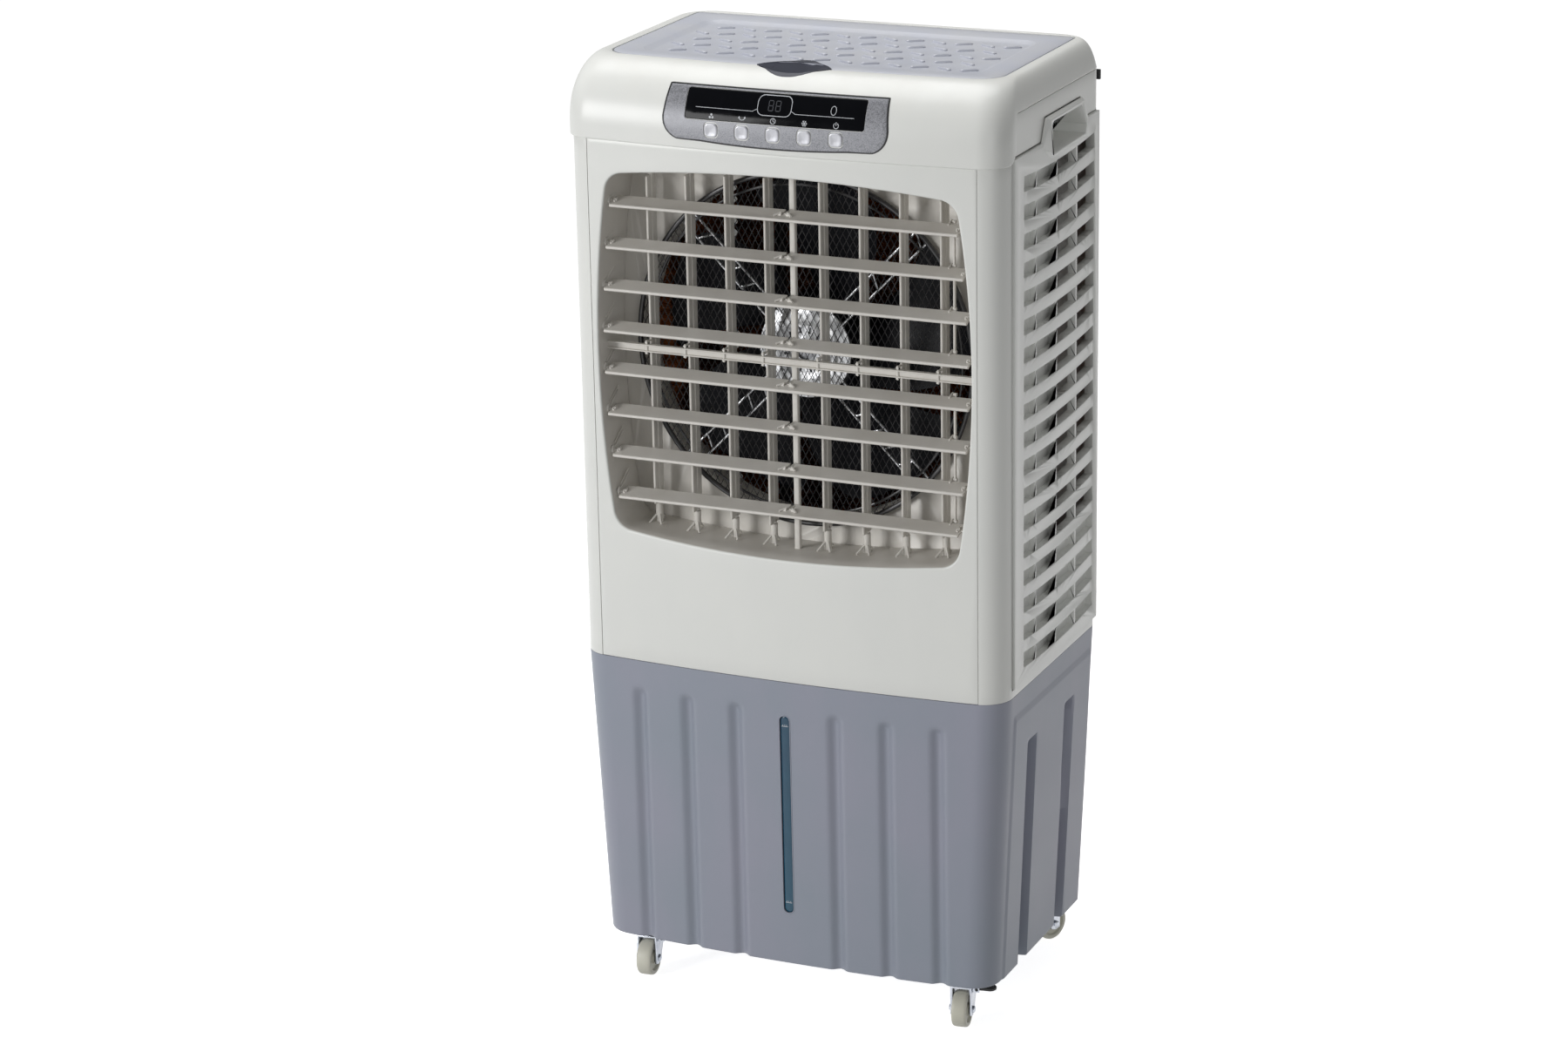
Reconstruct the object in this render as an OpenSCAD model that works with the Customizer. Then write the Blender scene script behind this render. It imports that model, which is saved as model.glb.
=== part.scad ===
// Portable evaporative cooler on casters.
// Origin on the floor under the middle of the cabinet, +Z up, the air outlet faces -Y. Millimetres.

/* [Cabinet] */
// Width of the cabinet over its side walls
body_w = 535; // [520:1:550]
// Distance from the middle to the front face, at the crown of its bow
front_y = 179; // [175:1:185]
// Distance from the middle to the back wall
back_y = 166; // [160:1:168]
// Radius of the bowed front, in plan
bow_r = 2780; // [2000:10:4000]
// Radius of the upright corners, in plan
corner_r = 35; // [28:1:40]
// Wall thickness of the mouldings
wall = 3; // [2.5:0.1:3.5]
// Top of the lid above the floor
top_z = 1130; // [1125:1:1135]
// Lower edge of the hood across the front
hood_z = 1042; // [1038:1:1046]
// Lower edge of the hood along the sides
hood_side_z = 1096; // [1090:1:1098]
// Joint between the white cabinet and the tank
seam_z = 416.5; // [410:0.5:420]

/* [Tank] */
// Underside of the water tank above the floor
tank_z = 59; // [58:0.5:62]
// How much each side of the tank draws in at the bottom
tank_taper_x = 16.5; // [10:0.5:20]
// How much the front and the back of the tank draw in at the bottom
tank_taper_y = 5; // [3:0.5:8]
// Wall of the tank
tank_wall = 4; // [3.5:0.5:5]
// Flutes on each half of the front
flutes = 3; // [2:1:3]
// Distance between flutes
flute_pitch = 62; // [58:1:62]
// Width of the water gauge
gauge_w = 13; // [10:1:16]
// Height of the water gauge
gauge_h = 250; // [200:5:260]

/* [Air outlet] */
// Height of the middle of the outlet and of the fan
outlet_z = 796.5; // [790:0.5:800]
// Half width of the barrel-shaped outlet
outlet_a = 229.5; // [225:0.5:232]
// Half height of the barrel-shaped outlet
outlet_b = 222.5; // [215:0.5:225]
// Squareness of the barrel shape
outlet_n = 7; // [6:0.5:9]
// Louvres, top to bottom
louvres = 8; // [4:1:8]
// Distance between louvres
louvre_pitch = 49.9; // [46:0.1:50]
// Chord of a louvre
louvre_chord = 26; // [22:1:26]
// Downward tilt of the louvres at rest
louvre_tilt = 15; // [0:1:15]
// Upright vanes on each side of the post
vanes_side = 4; // [2:1:4]
// Distance between vanes
vane_pitch = 49.1; // [44:0.1:49.5]
// Chord of a vane
vane_chord = 24; // [18:1:24]
// Blades on the fan
fan_blades = 5; // [3:1:6]
// Radius of the fan
fan_r = 192; // [180:1:195]

/* [Grilles] */
// Rows of slots in a grille
rows = 18; // [10:1:18]
// Distance between rows
row_pitch = 32.9; // [30:0.1:33]
// Height of a slot
slot_h = 16; // [12:1:18]
// How far a row of slots sags in the middle
slot_sag = 5.5; // [0:0.5:8]
// Rows from the bottom that are blind
blind_rows = 4; // [0:1:6]

/* [Controls] */
// Buttons on the panel
buttons = 5; // [3:1:5]
// Distance between buttons
button_pitch = 37.9; // [30:0.1:38]
// Width of a button
button_w = 16; // [12:1:18]
// Travel of a button
button_travel = 1.2; // [0.8:0.1:1.5]

/* [Casters] */
// Distance from the middle to a caster, sideways
caster_x = 204; // [195:1:206]
// Distance from the middle to a caster, fore and aft
caster_y = 124; // [115:1:126]
// Radius of a caster's wheel
wheel_r = 22; // [20:0.5:23]
// Width of a caster's wheel
wheel_w = 18; // [14:1:20]
// Trail of a caster's wheel behind its king pin
trail = 17; // [14:1:20]

/* [Hidden] */
$fn = 48;
eps = 0.01;
half_w = body_w / 2;
pin_r = 2;                       // louvre, vane and link pins
fit = 0.05;                      // radial play of a pin in its hole
louvre_y = -153;                 // louvre pivots
vane_y = -121;                   // vane pivots
louvre_top_z = outlet_z + 3.5 * louvre_pitch - 4.5;
link_arm = louvre_chord / 2 + 5.5; // louvre pivot to its link rod
link_x = 199;
bar_arm = 22;                    // vane pivot to the tie bar
bar_z = outlet_z - 3.5;
shroud_y = -98;                  // front of the fan wall
fan_ring_r = fan_r + 13;
guard_y = shroud_y - 6;
bezel_proud = 0.8;
button_proud = 1.4;
rear_reach = front_y + 3 + button_proud;  // the cable hooks balance the front
deck_z = seam_z + 12;
grille_out = 3;                  // how far the grilles stand proud
grille_t = 11;
grille_front_y = -136;
grille_back_y = 142;
grille_top_z = 1048;
grille_low_z = 427;
first_row_z = 1010;
lid_half = 240;
lid_front_y = -107;
lid_back_y = 143;
lid_r = 30;
lid_hinge = [0, lid_back_y - 7, top_z - 7];
button_z = 1065;
board_y = -157;                  // front of the circuit board's box
shroud_half_w = half_w + grille_out - grille_t - 0.5;
gauge_mid_z = tank_z + 65.5 + gauge_h / 2;
rear_mid_z = 738;
gland_x = -215;
gland_z = 452;
hook_x = 226;
hook_z = 1080;
lean = atan(tank_taper_x / (seam_z - tank_z));
hood_drop = 70;                  // height of the hood's rounded shoulder
swivel = [185, 188, 20, -25];    // how the four casters happen to stand
pedal_x = -wheel_w / 2 - 8;      // pin of the brake pedal, beside the fork
pedal_z = tank_z - 12;

white = [0.86, 0.86, 0.84];
slate = [0.50, 0.53, 0.59];
mist = [0.68, 0.70, 0.74];
steel = [0.75, 0.76, 0.78];
black = [0.05, 0.05, 0.06];

// ---- outlines -------------------------------------------------------------

function arc(cx, cy, r, a0, a1, n) =
    [for (i = [0 : n]) let (a = a0 + (a1 - a0) * i / n) [cx + r * cos(a), cy + r * sin(a)]];

// Plan of the cabinet: bowed front, straight sides and back, round corners
function plan(inset, dx = 0, dy = 0, r = corner_r) =
    let (w = half_w - dx - inset, f = front_y - dy - inset, b = back_y - dy - inset,
        q = max(r - inset, 5), yc = bow_r - f, cx = w - q,
        cy = yc - sqrt((bow_r - q) ^ 2 - cx ^ 2), phi = atan2(cy - yc, cx))
    concat(arc(0, yc, bow_r, -180 - phi, phi, 12), arc(cx, cy, q, phi, 0, 6),
        arc(cx, b - q, q, 0, 90, 6), arc(-cx, b - q, q, 90, 180, 6),
        arc(-cx, cy, q, 180, 180 - phi, 6));

// Barrel shape of the outlet, as [x, z] about its middle
function signed_pow(v, e) = sign(v) * abs(v) ^ e;
function barrel(inset) =
    [for (i = [0 : 71]) [(outlet_a - inset) * signed_pow(cos(i * 5 + 2.5), 2 / outlet_n),
        (outlet_b - inset) * signed_pow(sin(i * 5 + 2.5), 2 / outlet_n)]];
function barrel_half_w(dz, inset) =
    (outlet_a - inset) * (1 - (abs(dz) / (outlet_b - inset)) ^ outlet_n) ^ (1 / outlet_n);
function barrel_half_h(dx, inset) =
    (outlet_b - inset) * (1 - (abs(dx) / (outlet_a - inset)) ^ outlet_n) ^ (1 / outlet_n);

function bow(x) = x * x / (2 * bow_r);
function louvre_z(i) = louvre_top_z - i * louvre_pitch;
function louvre_half(i) = barrel_half_w(louvre_z(i) - outlet_z, 0) - 5;
function vane_x(i) = (i < vanes_side ? i - vanes_side : i - vanes_side + 1) * vane_pitch
    + (i < vanes_side ? 1 : -1) * (vane_pitch - 34);
function vane_half(i) = barrel_half_h(vane_x(i), 0) - 12;
function button_x(i) = (i - (buttons - 1) / 2) * button_pitch;
function sag(y) = slot_sag * (y / 120) ^ 2;

module slab(z, h, inset, dx = 0, dy = 0)
    translate([0, 0, z]) linear_extrude(h) polygon(plan(inset, dx, dy));

// Extrudes an [x, z] outline from y0 back to y1
module depth(y0, y1) translate([0, y1, 0]) rotate([90, 0, 0]) linear_extrude(y1 - y0) children();

// Extrudes a [y, z] outline from x0 to x1
module across(x0, x1) translate([x0, 0, 0]) rotate([90, 0, 90]) linear_extrude(x1 - x0) children();

module round_rect(w, h, r) {
    square([w - 2 * r, h], center = true);
    square([w, h - 2 * r], center = true);
    for (x = [-1, 1], y = [-1, 1]) translate([x * (w / 2 - r), y * (h / 2 - r)]) circle(r);
}

module both_sides() {
    children();
    mirror([1, 0, 0]) children();
}

// ---- tank -----------------------------------------------------------------

module tank_form(inset, z0, z1)
    hull() {
        slab(z0, eps, inset + 8, tank_taper_x, tank_taper_y);
        slab(z0 + 8, eps, inset, tank_taper_x, tank_taper_y);
        slab(z1 - eps, eps, inset);
    }

module tank_relief(grow) {
    for (side = [-1, 1], i = [1 : flutes])
        translate([side * i * flute_pitch, -front_y + tank_taper_y + bow(i * flute_pitch) - 11 + grow / 2,
                tank_z - 20])
            rotate([atan(tank_taper_y / (seam_z - tank_z)), 0, 0])
                cylinder(r = 14 + grow / 2, h = seam_z - 33 - tank_z + 20);
    both_sides() for (y = [-64, 60])
        translate([half_w - tank_taper_x, y, tank_z - 20])
            rotate([0, lean, 0])
                translate([-9 - grow, -14 - grow, -1])
                    cube([30, 28 + 2 * grow, 307 + grow]);
}

module water_tank() color(slate) difference() {
    union() {
        difference() {
            tank_form(0, tank_z, seam_z);
            difference() {
                tank_form(tank_wall, tank_z + tank_wall, seam_z + 1);
                tank_relief(tank_wall);
            }
        }
        difference() {
            slab(seam_z - 10, 19, wall + 1);
            slab(seam_z - 11, 21, wall + 4);
        }
    }
    tank_relief(0);
    depth(-front_y - 5, -front_y + 25) translate([0, gauge_mid_z])
        round_rect(gauge_w, gauge_h, gauge_w / 2 - 0.1);
    translate([140, back_y + 5, tank_z + 26]) rotate([90, 0, 0]) cylinder(r = 12, h = 40);
}

module gauge_window() color([0.16, 0.42, 0.52]) intersection() {
    depth(-front_y, -front_y + 30) translate([0, gauge_mid_z])
        round_rect(gauge_w - 0.4, gauge_h - 0.4, gauge_w / 2 - 0.3);
    difference() {
        tank_form(1, tank_z, seam_z);
        tank_form(tank_wall, tank_z, seam_z + 1);
    }
}

module drain_plug() color(black) translate([140, back_y - tank_taper_y, tank_z + 26]) rotate([-90, 0, 0]) {
    translate([0, 0, -14]) cylinder(r = 11.8, h = 15.5);
    translate([0, 0, 1.5]) cylinder(r = 16, h = 5, $fn = 12);
    translate([0, 0, 6.5]) cylinder(r = 9, h = 4);
}

// ---- cabinet --------------------------------------------------------------

// Side view of everything that belongs to the hood: a front skirt that turns up along the sides
function hood_line() = concat([[-front_y - 40, hood_z], [-150, hood_z]],
    arc(-150, hood_z + 20, 20, -90, 0, 5), [[-130, hood_side_z - 6]],
    arc(-124, hood_side_z - 6, 6, 180, 90, 3), [[back_y + 40, hood_side_z]]);
module hood_zone(gap)
    across(-half_w - 20, half_w + 20)
        polygon(concat([for (p = hood_line()) p + [0, gap]],
            [[back_y + 40, top_z + 40], [-front_y - 40, top_z + 40]]));

module grille_outline(grow) {
    pocket = [[-49, grille_top_z - 5], [-34, 1074], [82, 1074], [104, grille_top_z - 5]];
    translate([grille_front_y - grow, grille_low_z - grow])
        square([grille_back_y - grille_front_y + 2 * grow, grille_top_z - grille_low_z + 2 * grow]);
    polygon([for (i = [0 : 3]) pocket[i] + [(i < 2 ? -1 : 1) * grow, (i == 1 || i == 2 ? 1 : 0) * grow]]);
}

module rear_outline(grow) square([390 + 2 * grow, 610 + 2 * grow], center = true);

module main_housing() color(white) difference() {
    union() {
        difference() {
            slab(seam_z, top_z - 12 - seam_z, 0);
            slab(seam_z - 1, top_z - seam_z, wall);
        }
        slab(deck_z, 3, wall - 0.5);
    }
    hood_zone(-0.4);
    // front panel's place
    translate([-238.6, -front_y - 20, seam_z - 20]) cube([477.2, 39, top_z]);
    both_sides() across(half_w - 20, half_w + 20) grille_outline(1);
    depth(back_y - 20, back_y + 20) translate([0, rear_mid_z]) rear_outline(1);
    // water returns to the tank under each pad, and the pump's hose comes up
    both_sides() translate([half_w - 58, -110, deck_z - 20]) cube([36, 230, 40]);
    translate([-150, 118, deck_z - 20]) cube([300, 34, 40]);
    translate([-100, 60, deck_z - 20]) cylinder(r = 45, h = 40);
    translate([gland_x, back_y - 20, gland_z]) rotate([-90, 0, 0]) cylinder(r = 9, h = 40);
    for (side = [-1, 1]) translate([side * hook_x, back_y - 20, hook_z]) rotate([-90, 0, 0])
            cylinder(r = 3, h = 40);
}

module front_panel() color(white) {
    difference() {
        intersection() {
            difference() {
                slab(seam_z + 0.4, hood_z - seam_z - 0.8, 0);
                slab(seam_z - 1, top_z - seam_z, wall);
            }
            translate([-238, -front_y - 20, 0]) cube([476, 39 - 0.6, top_z]);
        }
        depth(-front_y - 20, -front_y + 30) translate([0, outlet_z]) polygon(barrel(0));
    }
    // duct behind the opening, with the louvre and vane bearings
    difference() {
        union() {
            difference() {
                intersection() {
                    depth(-front_y, shroud_y - 0.4) translate([0, outlet_z]) polygon(barrel(-2.5));
                    slab(seam_z, hood_z - seam_z, 0.2);
                }
                depth(-190, 0) translate([0, outlet_z]) polygon(barrel(0));
            }
            for (i = [0 : 2 * vanes_side - 1], s = [-1, 1])
                translate([vane_x(i), vane_y, outlet_z + s * (vane_half(i) + 0.4)])
                    mirror([0, 0, s < 0 ? 1 : 0]) cylinder(r = 4.5, h = 13);
        }
        for (i = [0 : louvres - 1]) translate([-half_w, louvre_y, louvre_z(i)]) rotate([0, 90, 0])
            cylinder(r = pin_r + fit, h = body_w);
        for (i = [0 : 2 * vanes_side - 1]) translate([vane_x(i), vane_y, outlet_z - outlet_b - 20])
            cylinder(r = pin_r + fit, h = 2 * outlet_b + 40);
        translate([0, vane_y - bar_arm + 1, bar_z]) cube([body_w, 12, 15], center = true);
    }
    // centre post
    translate([-3.5, -132, outlet_z - outlet_b - 1]) cube([7, 6, 2 * outlet_b + 2]);
}

module hood_form(inset) hull() for (t = [0 : 15 : 90])
    slab_hood(top_z - hood_drop + (hood_drop - inset) * sin(t), inset, 1 - cos(t));

// One level of the hood: the plan drawn in towards the lid by k of the shoulder
module slab_hood(z, inset, k)
    translate([0, 0, z - eps]) linear_extrude(eps)
        polygon(hood_plan(inset - 3, k));
function hood_plan(inset, k) =
    let (dx = k * (half_w - lid_half - 8), df = k * (front_y + 3 - (-lid_front_y) - 15), db = k * 14,
        w = half_w - dx - inset, f = front_y - df - inset, b = back_y - db - inset, q = corner_r,
        yc = bow_r - f, cx = w - q, cy = yc - sqrt((bow_r - q) ^ 2 - cx ^ 2), phi = atan2(cy - yc, cx))
    concat(arc(0, yc, bow_r, -180 - phi, phi, 10), arc(cx, cy, q, phi, 0, 5),
        arc(cx, b - q, q, 0, 90, 5), arc(-cx, b - q, q, 90, 180, 5), arc(-cx, cy, q, 180, 180 - phi, 5));

module hood_solid(inset) {
    hood_form(inset);
    translate([0, 0, hood_z - 1]) linear_extrude(top_z - hood_drop - hood_z + 1.2)
        polygon(hood_plan(inset - 3, 0));
}

function lid_plan(grow) =
    let (w = lid_half + grow, f = -lid_front_y + 13 + grow, b = lid_back_y + grow, q = lid_r + grow,
        yc = bow_r - f, cx = w - q, cy = yc - sqrt((bow_r - q) ^ 2 - cx ^ 2), phi = atan2(cy - yc, cx))
    concat(arc(0, yc, bow_r, -180 - phi, phi, 10), arc(cx, cy, q, phi, 0, 5), arc(w - 8, b - 8, 8, 0, 90, 3),
        arc(8 - w, b - 8, 8, 90, 180, 3), arc(-cx, cy, q, 180, 180 - phi, 5));

// Lens-shaped outline of the finger pull, u from -1 to 1 along its length
function lens_edge(u, reach, grow) = [u * (46 + grow), -119 + reach * (1 - u * u) + grow * sign(reach)];
function lens(grow) = concat([for (i = [-5 : 5]) lens_edge(i / 5, 27, grow)],
    [for (i = [5 : -1 : -5]) lens_edge(i / 5, -19, grow)]);

// Outline of the control panel, as [x, z]
function panel_outline(grow) = concat(
    [[-132 - grow, 1111 + grow], [-136 - grow, 1078]], arc(-112 - grow, 1076, 24, 180, 255, 5),
    [for (x = [-60 : 30 : 60]) [x, 1049.5 + 4 * (x / 100) ^ 2 - grow]],
    arc(112 + grow, 1076, 24, 285, 360, 5), [[136 + grow, 1078], [132 + grow, 1111 + grow]]);

module window_outline(grow) translate([-109 - grow, 1076 - grow]) square([218 + 2 * grow, 33 + 2 * grow]);

module button_outline(grow)
    round_rect(button_w + 2 * grow, button_w + 2 * grow, 4);

module top_hood() color(white) difference() {
    union() {
        intersection() {
            difference() {
                hood_solid(0);
                hood_solid(wall + 1.5);
            }
            hood_zone(0);
        }
        // well that the lid drops into, with the ledge that it rests on
        translate([0, 0, top_z - 17]) linear_extrude(14) polygon(lid_plan(3.5));
    }
    translate([0, 0, top_z - 13]) linear_extrude(30) polygon(lid_plan(0.6));
    translate([0, 0, top_z - 30]) linear_extrude(60) polygon(lid_plan(-7));
    translate([0, 0, top_z - 18]) linear_extrude(60) polygon(lens(0.8));
    translate(lid_hinge - [lid_half, 0, 0]) rotate([0, 90, 0]) cylinder(r = 10.4, h = 2 * lid_half);
    translate(lid_hinge - [half_w, 0, 0]) rotate([0, 90, 0]) cylinder(r = 3 + fit, h = body_w);
    depth(-front_y - 20, -front_y + 35) polygon(panel_outline(0.3));
}

module top_lid() color(mist) difference() {
    union() {
        translate([0, 0, top_z - 12.8]) linear_extrude(12.8) polygon(lid_plan(0));
        translate(lid_hinge - [lid_half + 3.2, 0, 0]) rotate([0, 90, 0])
            cylinder(r = 3, h = 2 * lid_half + 6.4);
    }
    // hollow underside, and the sunken tread with its short slanting bars
    translate([0, 0, top_z - 20]) linear_extrude(20 - 5.5) polygon(lid_plan(-14));
    translate([0, 0, top_z - 20]) linear_extrude(30) polygon(lens(0));
    difference() {
        translate([0, 4, top_z - 2]) linear_extrude(5) round_rect(2 * lid_half - 70, 190, 14);
        for (row = [-2 : 2], col = [-6 : 6])
            translate([col * 30 + (row % 2 == 0 ? 0 : 15) - 4, row * 30 + 8, top_z - 3])
                rotate([0, 0, row % 2 == 0 ? 28 : -28]) translate([-8, -2, 0]) cube([16, 4, 2.6]);
        translate([0, -92, top_z - 3]) linear_extrude(3) round_rect(120, 60, 10);
    }
}

module finger_pull() color([0.09, 0.11, 0.17]) difference() {
    intersection() {
        translate([0, 0, top_z - 12.5]) linear_extrude(30) polygon(lens(0));
        hood_form(-0.6);
    }
    translate([0, -128, top_z + 26]) sphere(r = 30);
}

module control_panel() color([0.72, 0.72, 0.73]) difference() {
    union() {
        intersection() {
            difference() {
                hood_solid(-bezel_proud);
                hood_solid(2.4);
            }
            depth(-front_y - 20, -front_y + 40) polygon(panel_outline(0));
        }
        // box of the circuit board
        translate([-115, board_y, 1054]) cube([230, 17, 46]);
    }
    depth(-front_y - 20, board_y - 0.5) window_outline(0.1);
    for (i = [0 : buttons - 1]) depth(-front_y - 20, board_y - 0.5) translate([button_x(i), button_z])
        button_outline(0.35);
    translate([-112, board_y + 2.5, 1057]) cube([224, 12, 40]);
}

module display_window() color(black) intersection() {
    difference() {
        hood_solid(-bezel_proud + 0.3);
        hood_solid(2.4);
    }
    depth(-front_y - 20, -front_y + 40) window_outline(0);
}

module button(i) color(steel)
    depth(-front_y - 3 - button_proud + bow(button_x(i)), -front_y + 8)
        translate([button_x(i), button_z]) button_outline(0);

// ---- grilles --------------------------------------------------------------

// One sagging slot between two stations, [y, z] outline
module slot(y0, y1, z0)
    polygon(concat([for (t = [0 : 3]) let (y = y0 + (y1 - y0) * t / 3) [y, z0 + sag(y) - slot_h / 2]],
        [for (t = [3 : -1 : 0]) let (y = y0 + (y1 - y0) * t / 3) [y, z0 + sag(y) + slot_h / 2]]));

// Stations of the slots: the two front ones are blind
stations = [[-107, -69], [-64, -3], [3, 64], [69, 124]];

module side_grille() difference() {
    union() {
        across(half_w + grille_out - grille_t, half_w + grille_out) grille_outline(0);
        // cup of the hand hold
        across(232, half_w + 0.5) polygon([[-33, 1024], [-33, 1073], [80, 1073], [93, 1055], [93, 1024]]);
    }
    for (r = [0 : rows - 1], s = [0 : 3])
        across(s < 2 || r >= rows - blind_rows ? half_w - 5 : 200, half_w + 10)
            slot(stations[s][0], stations[s][1], first_row_z - r * row_pitch);
    across(236, half_w + 10)
        polygon([[-23, 1030], [-25, 1064], [-20, 1067.5], [70, 1067.5], [75, 1064], [88, 1042], [84, 1034]]);
}

module side_grille_right() color(white) side_grille();
module side_grille_left() color(white) mirror([1, 0, 0]) side_grille();

module rear_grille() color(white) difference() {
    depth(back_y - wall, back_y + grille_out) translate([0, rear_mid_z]) rear_outline(0);
    for (r = [0 : rows - 1], c = [-3 : 2])
        depth(back_y - 20, back_y + 20)
            translate([c * 62 + 3, first_row_z - 3 - r * row_pitch - slot_h / 2]) square([56, slot_h]);
}

module cooling_pads() color([0.36, 0.21, 0.12]) {
    both_sides() translate([196, -45, 450]) cube([30, 160, 620]);
    translate([-190, 122, 450]) cube([380, 28, 620]);
}

// ---- water circuit --------------------------------------------------------

module drip_tray() color(white) difference() {
    translate([-232, -96, 1079]) cube([464, 246, 28]);
    translate([-229, -93, 1082]) cube([458, 240, 40]);
    for (y = [-30 : 20 : 110], s = [-1, 1]) translate([s * 211, y, 1070]) cylinder(r = 2.5, h = 20);
    for (x = [-160 : 20 : 160]) translate([x, 136, 1070]) cylinder(r = 2.5, h = 20);
    translate([-100, 60, 1070]) cylinder(r = 6.6, h = 20);
}

module water_pump() color([0.15, 0.16, 0.18]) translate([-100, 60, tank_z + tank_wall]) {
    difference() {
        translate([-32, -24, 0]) cube([64, 48, 44]);
        for (x = [-24 : 8 : 24]) translate([x - 1.5, -30, 6]) cube([3, 12, 26]);
    }
    translate([0, 0, 44]) difference() {
        cylinder(r = 6.4, h = 1092 - 44 - tank_z - tank_wall);
        translate([0, 0, -1]) cylinder(r = 4.6, h = 1100 - tank_z);
    }
}

// ---- fan ------------------------------------------------------------------

module turned(y0) translate([0, y0, outlet_z]) rotate([-90, 0, 0]) children();

module fan_shroud() color(white) {
    difference() {
        depth(shroud_y, shroud_y + wall)
            for (half = [[shroud_half_w, 1022], [229, 1040]])
                translate([-half.x, deck_z + 3.2]) square([2 * half.x, half.y - deck_z - 3.2]);
        turned(shroud_y - 5) cylinder(r = fan_ring_r, h = 20, $fn = 96);
    }
    difference() {
        turned(shroud_y) cylinder(r = fan_ring_r + 3, h = 38, $fn = 96);
        turned(shroud_y - 5) cylinder(r = fan_ring_r, h = 60, $fn = 96);
    }
}

module fan_guard() color(black) {
    turned(guard_y) rotate_extrude($fn = 96) translate([fan_ring_r + 3, 0]) circle(r = 3, $fn = 16);
    for (s = [-1, 1], k = [-3 : 3])
        let (off = k * 52, half = sqrt((fan_ring_r + 2) ^ 2 - off ^ 2))
            turned(guard_y - 0.9 * s) rotate([0, 0, s * 58]) translate([-half, off, 0])
                rotate([0, 90, 0]) cylinder(r = 0.9, h = 2 * half, $fn = 16);
}

module motor_bracket() color(steel) {
    turned(shroud_y - 1.5) difference() {
        cylinder(r = 57, h = 2);
        for (a = [45 : 90 : 315]) rotate([0, 0, a]) translate([40, 0, -1]) cylinder(r = 2.2, h = 10);
        translate([0, 0, -1]) cylinder(r = 12, h = 10);
    }
    for (a = [45 : 90 : 315]) turned(shroud_y - 1.6) rotate([0, 0, a]) {
        for (s = [-1, 1]) translate([54, s * 9, 0]) rotate([0, 90, 0])
            cylinder(r = 1.5, h = fan_ring_r - 40, $fn = 16);
        for (d = [75 : 28 : 190]) translate([d, -9, 0]) rotate([-90, 0, 0])
            cylinder(r = 1.2, h = 18, $fn = 16);
    }
}

module fan_motor() color([0.6, 0.61, 0.63]) turned(shroud_y + 1) {
    cylinder(r = 50, h = 52);
    translate([0, 0, 52]) cylinder(r = 30, h = 5);
    translate([0, 0, 57]) cylinder(r = 5, h = 12);
}

module fan_rotor() color([0.12, 0.12, 0.14]) turned(shroud_y + 12) difference() {
    union() {
        cylinder(r = 60, h = 54);
        for (i = [0 : fan_blades - 1]) rotate([0, 0, i * 360 / fan_blades])
            intersection() {
                translate([50, 0, 24]) rotate([32, 0, 0]) translate([0, -52, -1.2]) cube([200, 104, 2.4]);
                cylinder(r = fan_r, h = 54, $fn = 96);
            }
    }
    translate([0, 0, -1]) cylinder(r = 52.5, h = 50);
    cylinder(r = 5 + fit, h = 80);
}

module swing_motor() color([0.2, 0.2, 0.22])
    let (top = outlet_z + vane_half(2 * vanes_side - 1) + 19.5)
        translate([vane_x(2 * vanes_side - 1), vane_y, top]) {
            translate([-20, -17, 0]) cube([40, 34, 16]);
            translate([0, 0, -9]) cylinder(r = pin_r, h = 10);
        }

// ---- louvres and vanes ----------------------------------------------------

module louvre(i) color([0.84, 0.84, 0.82])
    translate([0, louvre_y, louvre_z(i)]) rotate([louvre_tilt, 0, 0]) {
        translate([-louvre_half(i), -louvre_chord / 2, -1.1]) cube([2 * louvre_half(i), louvre_chord, 2.2]);
        translate([-louvre_half(i) - 6.8, 0, 0]) rotate([0, 90, 0])
            cylinder(r = pin_r, h = 2 * louvre_half(i) + 13.6);
        // lug and pin of the link rod
        translate([link_x - 5, louvre_chord / 2 - 2, -1.1]) cube([2, link_arm - louvre_chord / 2 + 4, 2.2]);
        translate([link_x - 4, link_arm, 0]) rotate([0, 90, 0]) cylinder(r = 1.2, h = 6);
    }

function link_pin(i) =
    [link_x, louvre_y + link_arm * cos(louvre_tilt), louvre_z(i) + link_arm * sin(louvre_tilt)];

module louvre_link(first, last) color([0.84, 0.84, 0.82]) difference() {
    let (a = link_pin(last), b = link_pin(first))
        translate([link_x - 2.6, a.y - 2.5, a.z - 3]) cube([4, 5, b.z - a.z + 6]);
    for (i = [first : last]) translate(link_pin(i) - [10, 0, 0]) rotate([0, 90, 0])
        cylinder(r = 1.2 + fit, h = 20);
}

module vane(i) color([0.84, 0.84, 0.82]) translate([vane_x(i), vane_y, 0]) {
    translate([-1.1, -vane_chord / 2, outlet_z - vane_half(i)]) cube([2.2, vane_chord, 2 * vane_half(i)]);
    translate([0, 0, outlet_z - vane_half(i) - 9]) cylinder(r = pin_r, h = 2 * vane_half(i) + 18);
    translate([-1.5, -bar_arm - 2, bar_z - 7.5]) cube([3, bar_arm - vane_chord / 2 + 5, 2]);
    translate([0, -bar_arm, bar_z - 7]) cylinder(r = 1.2, h = 9);
}

module vane_tie_bar() color([0.84, 0.84, 0.82]) difference() {
    translate([-236, vane_y - bar_arm - 3, bar_z - 5]) cube([472, 6, 9]);
    for (i = [0 : 2 * vanes_side - 1]) translate([vane_x(i), vane_y - bar_arm, bar_z - 10])
        cylinder(r = 1.2 + fit, h = 20);
}

// ---- casters --------------------------------------------------------------

function caster_at(i) = [(i % 2 == 0 ? -1 : 1) * caster_x, (i < 2 ? -1 : 1) * caster_y, 0];
module caster_frame(i) translate(caster_at(i)) rotate([0, 0, swivel[i]]) children();

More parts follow.
